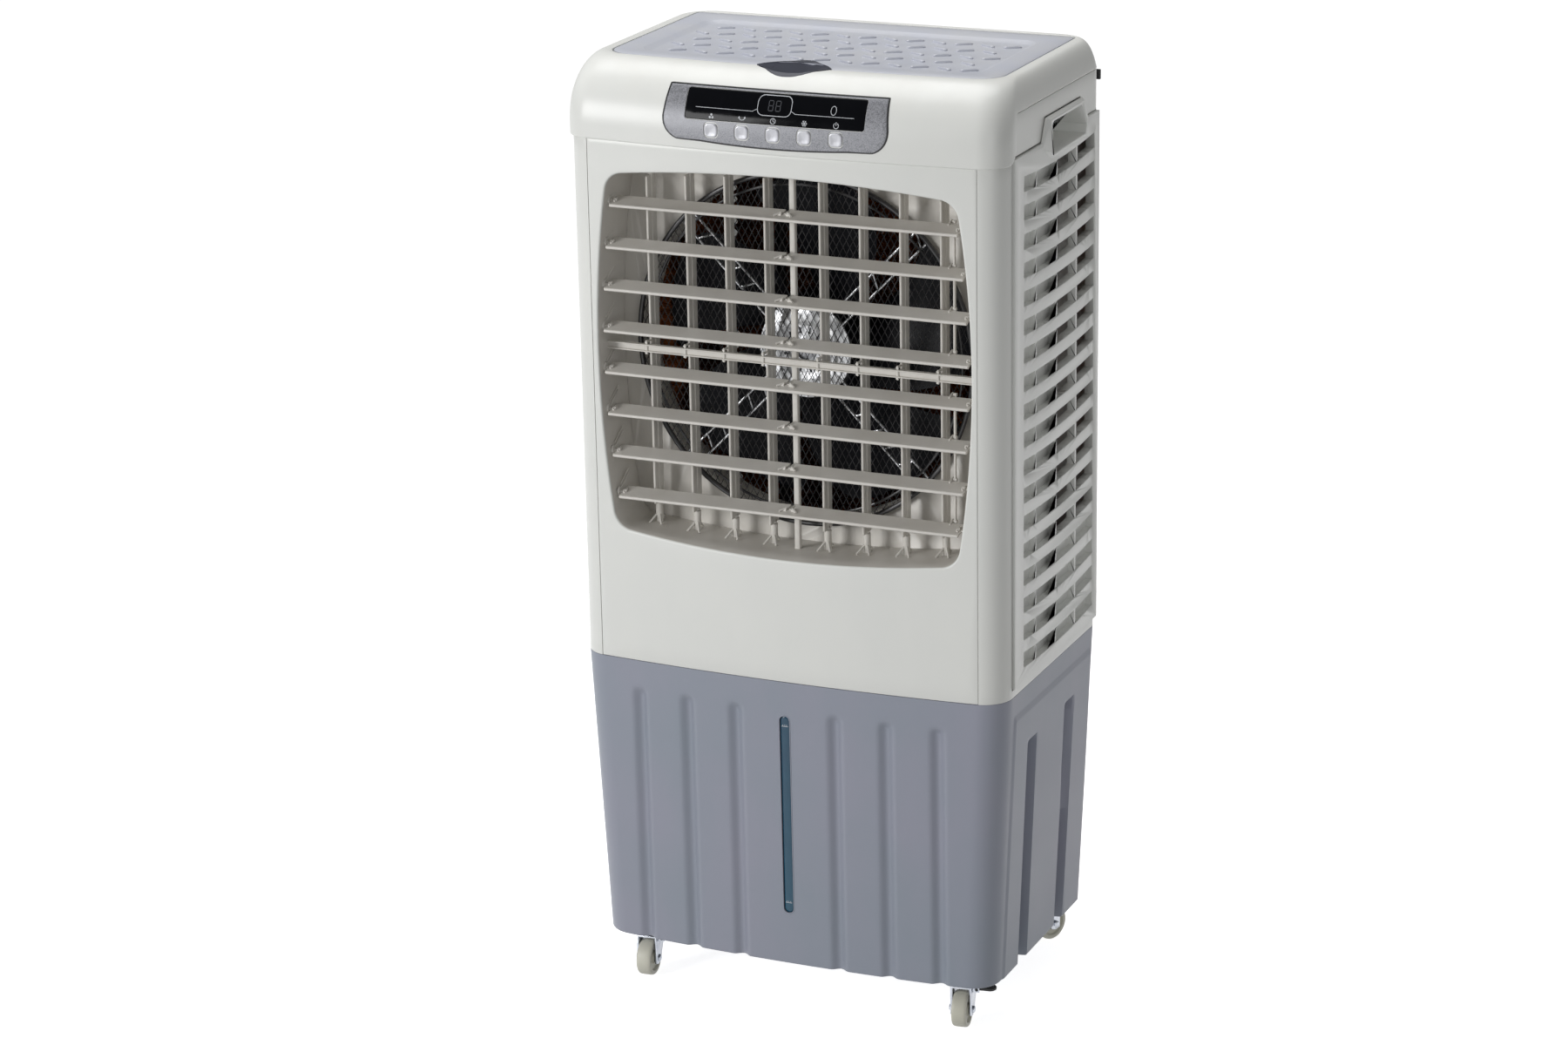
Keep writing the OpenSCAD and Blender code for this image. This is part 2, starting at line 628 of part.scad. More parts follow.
module caster_plates() color(steel) for (i = [0 : 3]) translate(caster_at(i)) difference() {
    union() {
        translate([-23, -23, tank_z - 2.5]) cube([46, 46, 2.5]);
        translate([0, 0, tank_z - 10.5]) cylinder(r = 4, h = 10);
        translate([0, 0, tank_z - 12.5]) cylinder(r = 6.5, h = 2.2);
    }
    for (x = [-17, 17], y = [-17, 17]) translate([x, y, tank_z - 5]) cylinder(r = 2.1, h = 10);
}

module caster_fork(i) color(steel) caster_frame(i) difference() {
    union() {
        translate([0, 0, tank_z - 9.8]) cylinder(r = 14, h = 7);
        translate([-wheel_w / 2 - 4, -3, tank_z - 9.8]) cube([wheel_w + 8, trail + 10, 2.5]);
        for (s = [-1, 1]) translate([s * (wheel_w / 2 + 2.5) - 1.5, 0, 0]) rotate([90, 0, 90])
            linear_extrude(3) polygon([[-3, tank_z - 7.3], [-3, 44], [trail - 7, wheel_r - 6],
                [trail, wheel_r - 8], [trail + 7, wheel_r - 6], [trail + 7, tank_z - 7.3]]);
        translate([-wheel_w / 2 - 4, trail, wheel_r]) rotate([0, 90, 0]) cylinder(r = 3, h = wheel_w + 8);
        // ears of the brake pedal
        if (i < 2) for (y = [-3, 15]) translate([pedal_x - 3.5, y, pedal_z - 3.5]) cube([10, 2, 8.3]);
    }
    cylinder(r = 4 + fit, h = 100);
    translate([0, 0, tank_z - 12.9]) cylinder(r = 6.8, h = 3);
    translate([pedal_x, -10, pedal_z]) rotate([-90, 0, 0]) cylinder(r = 1.5 + fit, h = 40);
}

module caster_wheel(i) color([0.88, 0.86, 0.80]) caster_frame(i)
    translate([0, trail, wheel_r]) rotate([0, 90, 0]) difference() {
        translate([0, 0, -wheel_w / 2]) cylinder(r = wheel_r, h = wheel_w);
        translate([0, 0, -wheel_w]) cylinder(r = 3 + fit, h = 2 * wheel_w);
    }

// The pedals of the two front casters turn on a pin beside the fork
module brake_pedal(i) color(black) caster_frame(i) difference() {
    translate([pedal_x, 0, pedal_z]) {
        rotate([-90, 0, 0]) translate([0, 0, -3.5]) cylinder(r = 1.5, h = 21);
        rotate([-90, 0, 0]) translate([0, 0, -0.7]) cylinder(r = 2.8, h = 15.4);
        translate([-22, -0.7, -1.5]) cube([22, 15.4, 3.6]);
    }
    // toe grip
    for (x = [-20 : 4 : -8]) translate([pedal_x + x, -5, pedal_z + 1.5]) cube([1.4, 30, 2]);
}

// ---- small parts ----------------------------------------------------------

module cable_hooks() color(black) both_sides() translate([hook_x, back_y, hook_z]) {
    translate([-9, 0, -9]) cube([18, 3, 18]);
    rotate([-90, 0, 0]) translate([0, 0, -6]) cylinder(r = 2.9, h = 8);
    translate([-5, 0, -6]) cube([10, rear_reach - back_y, 12]);
    translate([-5, rear_reach - back_y - 4, -6]) cube([36, 4, 12]);
}

module cord_gland() color(black) translate([gland_x, back_y, gland_z]) rotate([-90, 0, 0]) difference() {
    union() {
        translate([0, 0, -8]) cylinder(r = 8.9, h = 9);
        cylinder(r = 12, h = 4);
        translate([0, 0, 4]) cylinder(r = 7, h = 8);
    }
    translate([0, 0, -20]) cylinder(r = 3.7, h = 60);
}

module housing_screws() color(steel) {
    for (x = [-185, 185], z = [470, 1010]) translate([x * 1.17, back_y + 1.6, z]) rotate([90, 0, 0])
        cylinder(r = 4, h = 1.6);
    for (i = [0 : 3], x = [-17, 17], y = [-17, 17]) translate(caster_at(i) + [x, y, tank_z - 4.4]) {
        cylinder(r = 3.6, h = 1.9);
        cylinder(r = 1.9, h = 4.4);
    }
}

water_tank();
gauge_window();
main_housing();
front_panel();
top_hood();
control_panel();
display_window();
side_grille_left();
side_grille_right();
rear_grille();
cooling_pads();
drip_tray();
water_pump();
fan_shroud();
fan_guard();
fan_motor();
motor_bracket();
swing_motor();
drain_plug();
cable_hooks();
cord_gland();
housing_screws();
caster_plates();
top_lid();
finger_pull();
button(0);  // button_1
button(1);  // button_2
button(2);  // button_3
button(3);  // button_4
button(4);  // button_5
louvre(0);  // louvre_1
louvre(1);  // louvre_2
louvre(2);  // louvre_3
louvre(3);  // louvre_4
louvre(4);  // louvre_5
louvre(5);  // louvre_6
louvre(6);  // louvre_7
louvre(7);  // louvre_8
louvre_link(0, 3);  // louvre_link_upper
louvre_link(4, 7);  // louvre_link_lower
vane(0);  // vane_1
vane(1);  // vane_2
vane(2);  // vane_3
vane(3);  // vane_4
vane(4);  // vane_5
vane(5);  // vane_6
vane(6);  // vane_7
vane(7);  // vane_8
vane_tie_bar();
fan_rotor();
caster_fork(0);  // caster_fork_1
caster_fork(1);  // caster_fork_2
caster_fork(2);  // caster_fork_3
caster_fork(3);  // caster_fork_4
caster_wheel(0);  // caster_wheel_1
caster_wheel(1);  // caster_wheel_2
caster_wheel(2);  // caster_wheel_3
caster_wheel(3);  // caster_wheel_4
brake_pedal(0);  // brake_pedal_1
brake_pedal(1);  // brake_pedal_2
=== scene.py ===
"""Portable evaporative cooler on casters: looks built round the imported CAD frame. Metres."""

import math
import random

import bmesh
import bpy
from mathutils import Matrix, Vector, noise


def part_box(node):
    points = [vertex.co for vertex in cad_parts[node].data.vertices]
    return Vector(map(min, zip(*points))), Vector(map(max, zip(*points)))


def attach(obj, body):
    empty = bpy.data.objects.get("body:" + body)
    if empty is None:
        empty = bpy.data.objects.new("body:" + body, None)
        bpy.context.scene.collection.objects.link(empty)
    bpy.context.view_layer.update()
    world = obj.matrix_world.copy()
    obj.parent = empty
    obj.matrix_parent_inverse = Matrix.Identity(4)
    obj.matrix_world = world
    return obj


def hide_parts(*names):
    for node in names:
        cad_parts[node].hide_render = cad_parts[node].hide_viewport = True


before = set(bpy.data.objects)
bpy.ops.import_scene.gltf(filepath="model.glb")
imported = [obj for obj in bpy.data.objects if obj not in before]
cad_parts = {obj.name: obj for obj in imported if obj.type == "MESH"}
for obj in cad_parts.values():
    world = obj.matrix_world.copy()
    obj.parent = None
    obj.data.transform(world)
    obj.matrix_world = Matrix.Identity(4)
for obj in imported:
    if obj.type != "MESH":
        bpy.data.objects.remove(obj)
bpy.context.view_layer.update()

# ---- driving sizes, read from the frame ---------------------------------------

MM = 0.001
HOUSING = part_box("main_housing")
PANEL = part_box("front_panel")
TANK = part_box("water_tank")
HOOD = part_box("top_hood")
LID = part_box("top_lid")
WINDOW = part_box("display_window")
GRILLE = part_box("side_grille_right")
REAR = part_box("rear_grille")
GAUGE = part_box("gauge_window")

HALF_W = HOUSING[1].x
BACK_Y = HOUSING[1].y
FRONT_Y = -PANEL[0].y
SEAM_Z = HOUSING[0].z
TANK_Z = TANK[0].z
TOP_Z = LID[1].z
HOOD_Z = HOOD[0].z
HOOD_SIDE_Z = 1096 * MM
BOW_R = 2.78
CORNER_R = 35 * MM
WALL = 3 * MM
HOOD_DROP = 70 * MM
LID_HALF = 240 * MM
OUTLET_Z = 796.5 * MM
OUTLET_A = 231 * MM
OUTLET_B = 219 * MM
SIDE_BULGE = 20 * MM
TOP_BULGE = 16 * MM
OUTLET_CORNER = 17 * MM
OUTLET_DROP = 12 * MM
# The outlet's corner: where its sides would meet, how far its rounding reaches, how hard the corner pulls
# the curve out, and the share of the points that each side gets.
CORNER_AT = 0.92
CORNER_REACH = 1.15
CORNER_PULL = 0.75
SIDE_SHARE = 0.36
SHROUD_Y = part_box("fan_shroud")[0].y
FAN_RING_R = 205 * MM
ROW_PITCH = 32.9 * MM
FIRST_ROW_Z = 1009.6 * MM
ROWS = 18
BLIND_ROWS = 4
SLOT_H = 18 * MM
SLOT_SAG = 5.5 * MM
TAPER_X = 16.5 * MM
TAPER_Y = 5 * MM
FRONT_STEPS = 90
CORNER_STEPS = 14
SIDE_STEPS = 100
REAR_STEPS = 40

random.seed(7)

# ---- mesh helpers ---------------------------------------------------------------


def link(obj):
    bpy.context.scene.collection.objects.link(obj)
    return obj


def mesh_object(name, verts, faces, sharp=38):
    """A mesh object in the row frame, shaded smooth except at edges sharper than an angle."""
    mesh = bpy.data.meshes.new(name)
    mesh.from_pydata([tuple(v) for v in verts], [], faces)
    mesh.validate()
    obj = link(bpy.data.objects.new(name, mesh))
    shade(obj, sharp)
    return obj


def shade(obj, sharp=38):
    obj.data.shade_smooth()
    obj.data.set_sharp_from_angle(angle=math.radians(sharp))


def bake(obj):
    """Applies every modifier on the object."""
    bpy.context.view_layer.update()
    graph = bpy.context.evaluated_depsgraph_get()
    mesh = bpy.data.meshes.new_from_object(obj.evaluated_get(graph), depsgraph=graph)
    old = obj.data
    obj.modifiers.clear()
    obj.data = mesh
    bpy.data.meshes.remove(old)
    return obj


def fix_normals(obj, merge=1e-5):
    """Merges doubles and turns every face outwards."""
    bm = bmesh.new()
    bm.from_mesh(obj.data)
    bmesh.ops.remove_doubles(bm, verts=bm.verts, dist=merge)
    bmesh.ops.recalc_face_normals(bm, faces=bm.faces)
    bm.to_mesh(obj.data)
    bm.free()
    return obj


def bevel(obj, width, segments=2, angle=35, sharp=38):
    """Rounds every edge sharper than an angle."""
    mod = obj.modifiers.new("edge", "BEVEL")
    mod.width = width
    mod.segments = segments
    mod.limit_method = "ANGLE"
    mod.angle_limit = math.radians(angle)
    mod.harden_normals = True
    mod.use_clamp_overlap = False
    bake(obj)
    shade(obj, sharp)
    return obj


def cut(obj, *cutters, operation="DIFFERENCE", solver="EXACT"):
    """Booleans the cutters into the object and deletes them."""
    for cutter in cutters:
        mod = obj.modifiers.new("cut", "BOOLEAN")
        mod.operation = operation
        mod.solver = solver
        mod.object = cutter
        bake(obj)
        bpy.data.objects.remove(cutter)
    return obj


def join(name, *parts):
    """Joins objects into the first, under a new name."""
    bm = bmesh.new()
    for part in parts:
        bm.from_mesh(part.data)
    mesh = bpy.data.meshes.new(name)
    bm.to_mesh(mesh)
    bm.free()
    for part in parts:
        bpy.data.objects.remove(part)
    obj = link(bpy.data.objects.new(name, mesh))
    shade(obj)
    return obj


def loft(name, rings, cap_start=False, cap_end=False, wrap=False, sharp=38):
    """Skins closed rings of equal length; wrap joins the last ring to the first."""
    n = len(rings[0])
    verts = [p for ring in rings for p in ring]
    faces = []
    last = len(rings) if wrap else len(rings) - 1
    for i in range(last):
        a, b = i * n, ((i + 1) % len(rings)) * n
        for j in range(n):
            k = (j + 1) % n
            faces.append((a + j, a + k, b + k, b + j))
    if cap_start:
        faces.append(tuple(reversed(range(n))))
    if cap_end:
        faces.append(tuple(range((len(rings) - 1) * n, len(rings) * n)))
    obj = mesh_object(name, verts, faces, sharp)
    fix_normals(obj)
    shade(obj, sharp)
    return obj


def in_mm(*pairs):
    """A list of 2-D points given in millimetres."""
    return [(a * MM, b * MM) for a, b in pairs]


def prism(name, outline, low, high, axis="Z"):
    """Extrudes a closed 2-D outline between two stations along an axis."""
    def place(p, t):
        return {"Z": (p[0], p[1], t), "Y": (p[0], t, p[1]), "X": (t, p[0], p[1])}[axis]
    return loft(name, [[place(p, low) for p in outline], [place(p, high) for p in outline]], True, True)


def block(name, low, high):
    corners = [(low[0], low[1]), (high[0], low[1]), (high[0], high[1]), (low[0], high[1])]
    return prism(name, corners, low[2], high[2])


def arc(cx, cy, r, a0, a1, n):
    """Points on an arc, angles in degrees, ends included."""
    return [(cx + r * math.cos(math.radians(a0 + (a1 - a0) * i / n)),
             cy + r * math.sin(math.radians(a0 + (a1 - a0) * i / n))) for i in range(n + 1)]


def round_box(w, h, r, cx=0.0, cy=0.0, n=6):
    """Outline of a rectangle with round corners."""
    x, y = w / 2 - r, h / 2 - r
    return (arc(cx + x, cy + y, r, 0, 90, n) + arc(cx - x, cy + y, r, 90, 180, n)
            + arc(cx - x, cy - y, r, 180, 270, n) + arc(cx + x, cy - y, r, 270, 360, n))


def turned(name, profile, centre, axis, segments=32, closed=False, sharp=38):
    """Revolves (radius, height) points about an axis through centre."""
    turn = Vector((0, 0, 1)).rotation_difference(Vector(axis)).to_matrix()
    rings = []
    for r, h in profile:
        rings.append([Vector(centre) + turn @ Vector((r * math.cos(t), r * math.sin(t), h))
                      for t in (2 * math.pi * i / segments for i in range(segments))])
    return loft(name, rings, not closed, not closed, closed, sharp)


def rod(name, start, end, r, sides=10):
    """A straight round wire with closed ends."""
    start, end = Vector(start), Vector(end)
    turn = Vector((0, 0, 1)).rotation_difference(end - start).to_matrix()
    rings = [[p + turn @ Vector((r * math.cos(t), r * math.sin(t), 0))
              for t in (2 * math.pi * i / sides for i in range(sides))] for p in (start, end)]
    return loft(name, rings, True, True)


def tube(name, points, r, sides=10, closed=False):
    """A wire swept along a smooth path."""
    count = len(points)
    rings = []
    side = None
    for i, p in enumerate(points):
        before = points[i - 1] if i or closed else points[i]
        after = points[(i + 1) % count] if i < count - 1 or closed else points[i]
        t = (Vector(after) - Vector(before)).normalized()
        if side is None:
            side = t.orthogonal().normalized()
        side = (side - t * side.dot(t)).normalized()
        other = t.cross(side)
        rings.append([Vector(p) + r * (math.cos(a) * side + math.sin(a) * other)
                      for a in (2 * math.pi * k / sides for k in range(sides))])
    return loft(name, rings, not closed, not closed, closed)


def polish(name, node, width=0.4 * MM, segments=2, angle=30):
    """A copy of a CAD node with its doubles merged, its flats cleaned and its edges rounded."""
    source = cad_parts[node]
    mesh = source.data.copy()
    obj = link(bpy.data.objects.new(name, mesh))
    bm = bmesh.new()
    bm.from_mesh(mesh)
    bmesh.ops.remove_doubles(bm, verts=bm.verts, dist=2e-6)
    bmesh.ops.dissolve_limit(bm, angle_limit=math.radians(0.6), verts=bm.verts, edges=bm.edges)
    bm.to_mesh(mesh)
    bm.free()
    obj.data.materials.clear()
    return bevel(obj, width, segments, angle)


def piece(obj, body, nodes, material):
    """Gives a finished piece its material and its body, and hides the CAD nodes that it stands for."""
    obj.data.materials.clear()
    obj.data.materials.append(material)
    for poly in obj.data.polygons:
        poly.material_index = 0
    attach(obj, body)
    if nodes:
        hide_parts(*nodes)
    return obj


def smooth(t):
    t = min(max(t, 0.0), 1.0)
    return t * t * (3 - 2 * t)


def bow(x):
    """How far the bowed front falls back from its crown at x."""
    return x * x / (2 * BOW_R)


def plan(inset, half_w=HALF_W, front=FRONT_Y, back=BACK_Y, radius=CORNER_R, rear_radius=CORNER_R):
    """Plan of a bowed, round-cornered form: (x, y, normal) stations from mid-front, to the right.

    Every plan has the same stations, so any two of them can be skinned together."""
    w, f, b = half_w - inset, front - inset, back - inset
    q, p = max(radius - inset, 4 * MM), max(rear_radius - inset, 4 * MM)
    yc, cx = BOW_R - f, w - q
    cy = yc - math.sqrt((BOW_R - q) ** 2 - cx ** 2)
    phi = math.atan2(cy - yc, cx)
    half = []
    for i in range(FRONT_STEPS):
        a = -math.pi / 2 + (phi + math.pi / 2) * i / FRONT_STEPS
        half.append((BOW_R * math.cos(a), yc + BOW_R * math.sin(a), math.cos(a), math.sin(a)))
    for i in range(CORNER_STEPS):
        a = phi - phi * i / CORNER_STEPS
        half.append((cx + q * math.cos(a), cy + q * math.sin(a), math.cos(a), math.sin(a)))
    for i in range(SIDE_STEPS):
        half.append((w, cy + (b - p - cy) * i / SIDE_STEPS, 1.0, 0.0))
    for i in range(CORNER_STEPS):
        a = math.pi / 2 * i / CORNER_STEPS
        half.append((w - p + p * math.cos(a), b - p + p * math.sin(a), math.cos(a), math.sin(a)))
    for i in range(REAR_STEPS + 1):
        half.append(((w - p) * (1 - i / REAR_STEPS), b, 0.0, 1.0))
    left = [(-x, y, -nx, ny) for x, y, nx, ny in half[-2:0:-1]]
    return half + left


def ring_at(z, inset=0.0, **sizes):
    return [Vector((x, y, z)) for x, y, _, _ in plan(inset, **sizes)]


def barrel_half_w(dz, inset=0.0):
    """Half width of the outlet at a height above its middle."""
    return OUTLET_A - inset - SIDE_BULGE * (dz / OUTLET_B) ** 2


def barrel_half_h(dx, inset=0.0):
    return OUTLET_B - inset - TOP_BULGE * (dx / OUTLET_A) ** 2


def barrel(inset, count=288):
    """Barrel outline of the outlet, (x, z): four bulging sides and round corners."""
    corner_x = barrel_half_w(OUTLET_B * CORNER_AT)
    corner_z = barrel_half_h(OUTLET_A * CORNER_AT)
    quarter = count // 4
    reach = [OUTLET_CORNER * CORNER_REACH / corner_x, OUTLET_CORNER * CORNER_REACH / corner_z]
    first = []
    for i in range(quarter):
        t = (i + 0.5) / quarter
        if t < SIDE_SHARE:
            z = corner_z * (1 - reach[1]) * t / SIDE_SHARE
            first.append((barrel_half_w(z), z))
        elif t > 1 - SIDE_SHARE:
            x = corner_x * (1 - reach[0]) * (1 - t) / SIDE_SHARE
            first.append((x, barrel_half_h(x)))
        else:
            z0, x0 = corner_z * (1 - reach[1]), corner_x * (1 - reach[0])
            start, end = (barrel_half_w(z0), z0), (x0, barrel_half_h(x0))
            turn = (corner_x + 0.4 * MM, corner_z + 0.4 * MM)
            u = (t - SIDE_SHARE) / (1 - 2 * SIDE_SHARE)
            w = [(1 - u) ** 2, 2 * u * (1 - u) * CORNER_PULL, u * u]
            first.append(tuple(sum(k * p[c] for k, p in zip(w, (start, turn, end))) / sum(w) for c in (0, 1)))
    ring = first + [(-x, z) for x, z in reversed(first)]
    ring = ring + [(-x, -z * (1 + OUTLET_DROP / OUTLET_B)) for x, z in ring]
    grown = []
    for i, (x, z) in enumerate(ring):
        px, pz = ring[i - 1]
        qx, qz = ring[(i + 1) % len(ring)]
        tx, tz = qx - px, qz - pz
        length = math.hypot(tx, tz)
        grown.append((x - inset * tz / length, OUTLET_Z + z + inset * tx / length))
    return grown


# ---- shared effects ---------------------------------------------------------------


def ink(r, g, b):
    """A linear colour from the 0-255 values a paint chart gives."""
    linear = [((c / 255 + 0.055) / 1.055) ** 2.4 if c > 10 else c / 255 / 12.92 for c in (r, g, b)]
    return (*linear, 1.0)


def new_group(name, inputs, outputs):
    tree = bpy.data.node_groups.new(name, "ShaderNodeTree")
    for label, value in inputs.items():
        kind = "NodeSocketColor" if isinstance(value, tuple) else "NodeSocketFloat"
        tree.interface.new_socket(label, in_out="INPUT", socket_type=kind).default_value = value
    for label, kind in outputs.items():
        tree.interface.new_socket(label, in_out="OUTPUT", socket_type=kind)
    return tree, tree.nodes.new("NodeGroupInput"), tree.nodes.new("NodeGroupOutput")


def node(tree, kind, settings=None, **sockets):
    """Adds a node; sockets are plain values or sockets to link from."""
    made = tree.nodes.new(kind)
    for key, value in (settings or {}).items():
        setattr(made, key, value)
    for key, value in sockets.items():
        numbered = key[0] == "i" and key[1:].isdigit()
        socket = made.inputs[int(key[1:]) if numbered else key.replace("_", " ")]
        if isinstance(value, bpy.types.NodeSocket):
            tree.links.new(value, socket)
        else:
            socket.default_value = value
    return made


def math_node(tree, operation, a, b=0.0, clamp=False):
    return node(tree, "ShaderNodeMath", {"operation": operation, "use_clamp": clamp}, i0=a, i1=b).outputs[0]


def mix_colour(tree, factor, a, b, blend="MIX"):
    made = node(tree, "ShaderNodeMix", {"data_type": "RGBA", "blend_type": blend}, i0=factor, i6=a, i7=b)
    return made.outputs[2]


def ramp(tree, value, low, high):
    """Maps low..high to 0..1, clamped."""
    return node(tree, "ShaderNodeMapRange", {"clamp": True}, i0=value, i1=low, i2=high).outputs[0]


def grain_group():
    """Fine texture of a spark-eroded mould: a height, and a roughness that wanders with it."""
    tree, given, out = new_group("mould_grain",
                                 {"Size": 0.0012, "Depth": 1.0, "Roughness": 0.4, "Spread": 0.06},
                                 {"Height": "NodeSocketFloat", "Roughness": "NodeSocketFloat"})
    at = tree.nodes.new("ShaderNodeTexCoord").outputs["Object"]
    scale = math_node(tree, "DIVIDE", 1.0, given.outputs["Size"])
    fine = node(tree, "ShaderNodeTexNoise", Vector=at, Scale=scale, Detail=2.0, Roughness=0.6).outputs["Fac"]
    pits = node(tree, "ShaderNodeTexVoronoi", Vector=at, Scale=math_node(tree, "MULTIPLY", scale, 0.6))
    both = math_node(tree, "ADD", math_node(tree, "MULTIPLY", fine, 0.7),
                     math_node(tree, "MULTIPLY", pits.outputs["Distance"], 0.5))
    slow = node(tree, "ShaderNodeTexNoise", Vector=at, Scale=9.0, Detail=3.0).outputs["Fac"]
    swing = math_node(tree, "MULTIPLY", math_node(tree, "SUBTRACT", slow, 0.5), given.outputs["Spread"])
    tree.links.new(math_node(tree, "MULTIPLY", both, given.outputs["Depth"]), out.inputs["Height"])
    tree.links.new(math_node(tree, "ADD", swing, given.outputs["Roughness"]), out.inputs["Roughness"])
    return tree


def tone_group():
    """Slow drift of a plastic's colour, with faint flow marks along the moulding."""
    tree, given, out = new_group("mould_tone", {"Colour": (1, 1, 1, 1), "Drift": (1, 1, 1, 1), "Amount": 0.5,
                                                "Reach": 0.18}, {"Colour": "NodeSocketColor"})
    at = tree.nodes.new("ShaderNodeTexCoord").outputs["Object"]
    scale = math_node(tree, "DIVIDE", 1.0, given.outputs["Reach"])
    cloud = node(tree, "ShaderNodeTexNoise", Vector=at, Scale=scale, Detail=3.0, Roughness=0.5).outputs["Fac"]
    stretched = node(tree, "ShaderNodeMapping", Vector=at, Scale=(3.0, 3.0, 0.7)).outputs["Vector"]
    flow = node(tree, "ShaderNodeTexNoise", Vector=stretched, Scale=6.0, Detail=4.0,
                Distortion=0.6).outputs["Fac"]
    mask = math_node(tree, "ADD", math_node(tree, "MULTIPLY", ramp(tree, cloud, 0.35, 0.65), 0.7),
                     math_node(tree, "MULTIPLY", ramp(tree, flow, 0.4, 0.65), 0.3))
    mask = math_node(tree, "MULTIPLY", mask, given.outputs["Amount"], True)
    tree.links.new(mix_colour(tree, mask, given.outputs["Colour"], given.outputs["Drift"]),
                   out.inputs["Colour"])
    return tree


def wear_and_highlight_group():
    """Outside edges as a broken mask: where hands and feet rub them, and a painted highlight where edges
    catch the light.
    """
    tree, given, out = new_group("edge_wear_painted_highlight", {"Amount": 0.4, "Size": 0.01}, {"Mask": "NodeSocketFloat"})
    at = tree.nodes.new("ShaderNodeTexCoord").outputs["Object"]
    point = tree.nodes.new("ShaderNodeNewGeometry").outputs["Pointiness"]
    edge = ramp(tree, point, 0.52, 0.62)
    broken = node(tree, "ShaderNodeTexNoise", Vector=at,
                  Scale=math_node(tree, "DIVIDE", 1.0, given.outputs["Size"]),
                  Detail=3.0).outputs["Fac"]
    mask = math_node(tree, "MULTIPLY", edge, ramp(tree, broken, 0.35, 0.7))
    tree.links.new(math_node(tree, "MULTIPLY", mask, given.outputs["Amount"], True), out.inputs["Mask"])
    return tree


def dust_group():
    """Dust that settles on faces that look up, thicker in blotches."""
    tree, given, out = new_group("settled_dust", {"Amount": 0.3, "Size": 0.03}, {"Mask": "NodeSocketFloat"})
    at = tree.nodes.new("ShaderNodeTexCoord").outputs["Object"]
    normal = tree.nodes.new("ShaderNodeNewGeometry").outputs["Normal"]
    up = node(tree, "ShaderNodeSeparateXYZ", Vector=normal).outputs["Z"]
    cloud = node(tree, "ShaderNodeTexNoise", Vector=at,
                 Scale=math_node(tree, "DIVIDE", 1.0, given.outputs["Size"]),
                 Detail=5.0).outputs["Fac"]
    mask = math_node(tree, "MULTIPLY", ramp(tree, up, 0.3, 1.0), ramp(tree, cloud, 0.3, 0.75))
    tree.links.new(math_node(tree, "MULTIPLY", mask, given.outputs["Amount"], True), out.inputs["Mask"])
    return tree


def drawn_group():
    """Fine lines left by drawing wire or brushing sheet, along one axis."""
    tree, given, out = new_group("drawn_lines", {"Along": 6.0, "Across": 900.0}, {"Lines": "NodeSocketFloat"})
    at = tree.nodes.new("ShaderNodeTexCoord").outputs["Object"]
    scale = node(tree, "ShaderNodeCombineXYZ", X=given.outputs["Across"], Y=given.outputs["Across"],
                 Z=given.outputs["Along"]).outputs[0]
    stretched = node(tree, "ShaderNodeVectorMath", {"operation": "MULTIPLY"}, i0=at, i1=scale).outputs[0]
    lines = node(tree, "ShaderNodeTexNoise", Vector=stretched, Scale=1.0, Detail=4.0).outputs["Fac"]
    tree.links.new(lines, out.inputs["Lines"])
    return tree


GRAIN, TONE, WEAR_AND_HIGHLIGHT, DUST, DRAWN = grain_group(), tone_group(), wear_and_highlight_group(), dust_group(), drawn_group()


def use(tree, group, **sockets):
    made = node(tree, "ShaderNodeGroup", {"node_tree": group})
    for key, value in sockets.items():
        socket = made.inputs[key]
        if isinstance(value, bpy.types.NodeSocket):
            tree.links.new(value, socket)
        else:
            socket.default_value = value
    return made.outputs


def shader(name, **constants):
    """A new material with its Principled shader, constants set on the shader's own sockets."""
    mat = bpy.data.materials.new(name)
    mat.use_nodes = True
    principled = mat.node_tree.nodes["Principled BSDF"]
    for key, value in constants.items():
        principled.inputs[key.replace("_", " ")].default_value = value
    return mat, mat.node_tree, principled


def bump(tree, principled, height, distance, strength=1.0):
    made = node(tree, "ShaderNodeBump", Strength=strength, Distance=distance, Height=height)
    tree.links.new(made.outputs["Normal"], principled.inputs["Normal"])


# ---- finishes ---------------------------------------------------------------------


def moulded(name, colour, drift, roughness, grain=1.2 * MM, depth=0.05 * MM, wear_and_highlight_colour=None, dusty=None,
            amount=0.5, **constants):
    """Injection-moulded plastic: drifting tone, mould grain, rubbed edges that also carry a painted edge
    highlight, and settled dust.
    """
    mat, tree, principled = shader(name, **constants)
    tone = use(tree, TONE, Colour=colour, Drift=drift, Amount=amount)["Colour"]
    if wear_and_highlight_colour:
        # edge colour from the wear mask: rubbing wear, and where it is lighter than the plastic a painted
        # edge highlight
        tone = mix_colour(tree, use(tree, WEAR_AND_HIGHLIGHT, Amount=0.35, Size=0.012)["Mask"], tone, wear_and_highlight_colour)
    surface = use(tree, GRAIN, Size=grain, Depth=1.0, Roughness=roughness, Spread=0.10)
    rough = surface["Roughness"]
    if dusty:
        mask = use(tree, DUST, Amount=0.35, Size=0.05)["Mask"]
        tone = mix_colour(tree, mask, tone, dusty)
        rough = math_node(tree, "ADD", rough, math_node(tree, "MULTIPLY", mask, 0.3))
    tree.links.new(tone, principled.inputs["Base Color"])
    tree.links.new(rough, principled.inputs["Roughness"])
    bump(tree, principled, surface["Height"], depth, 0.6)
    return mat


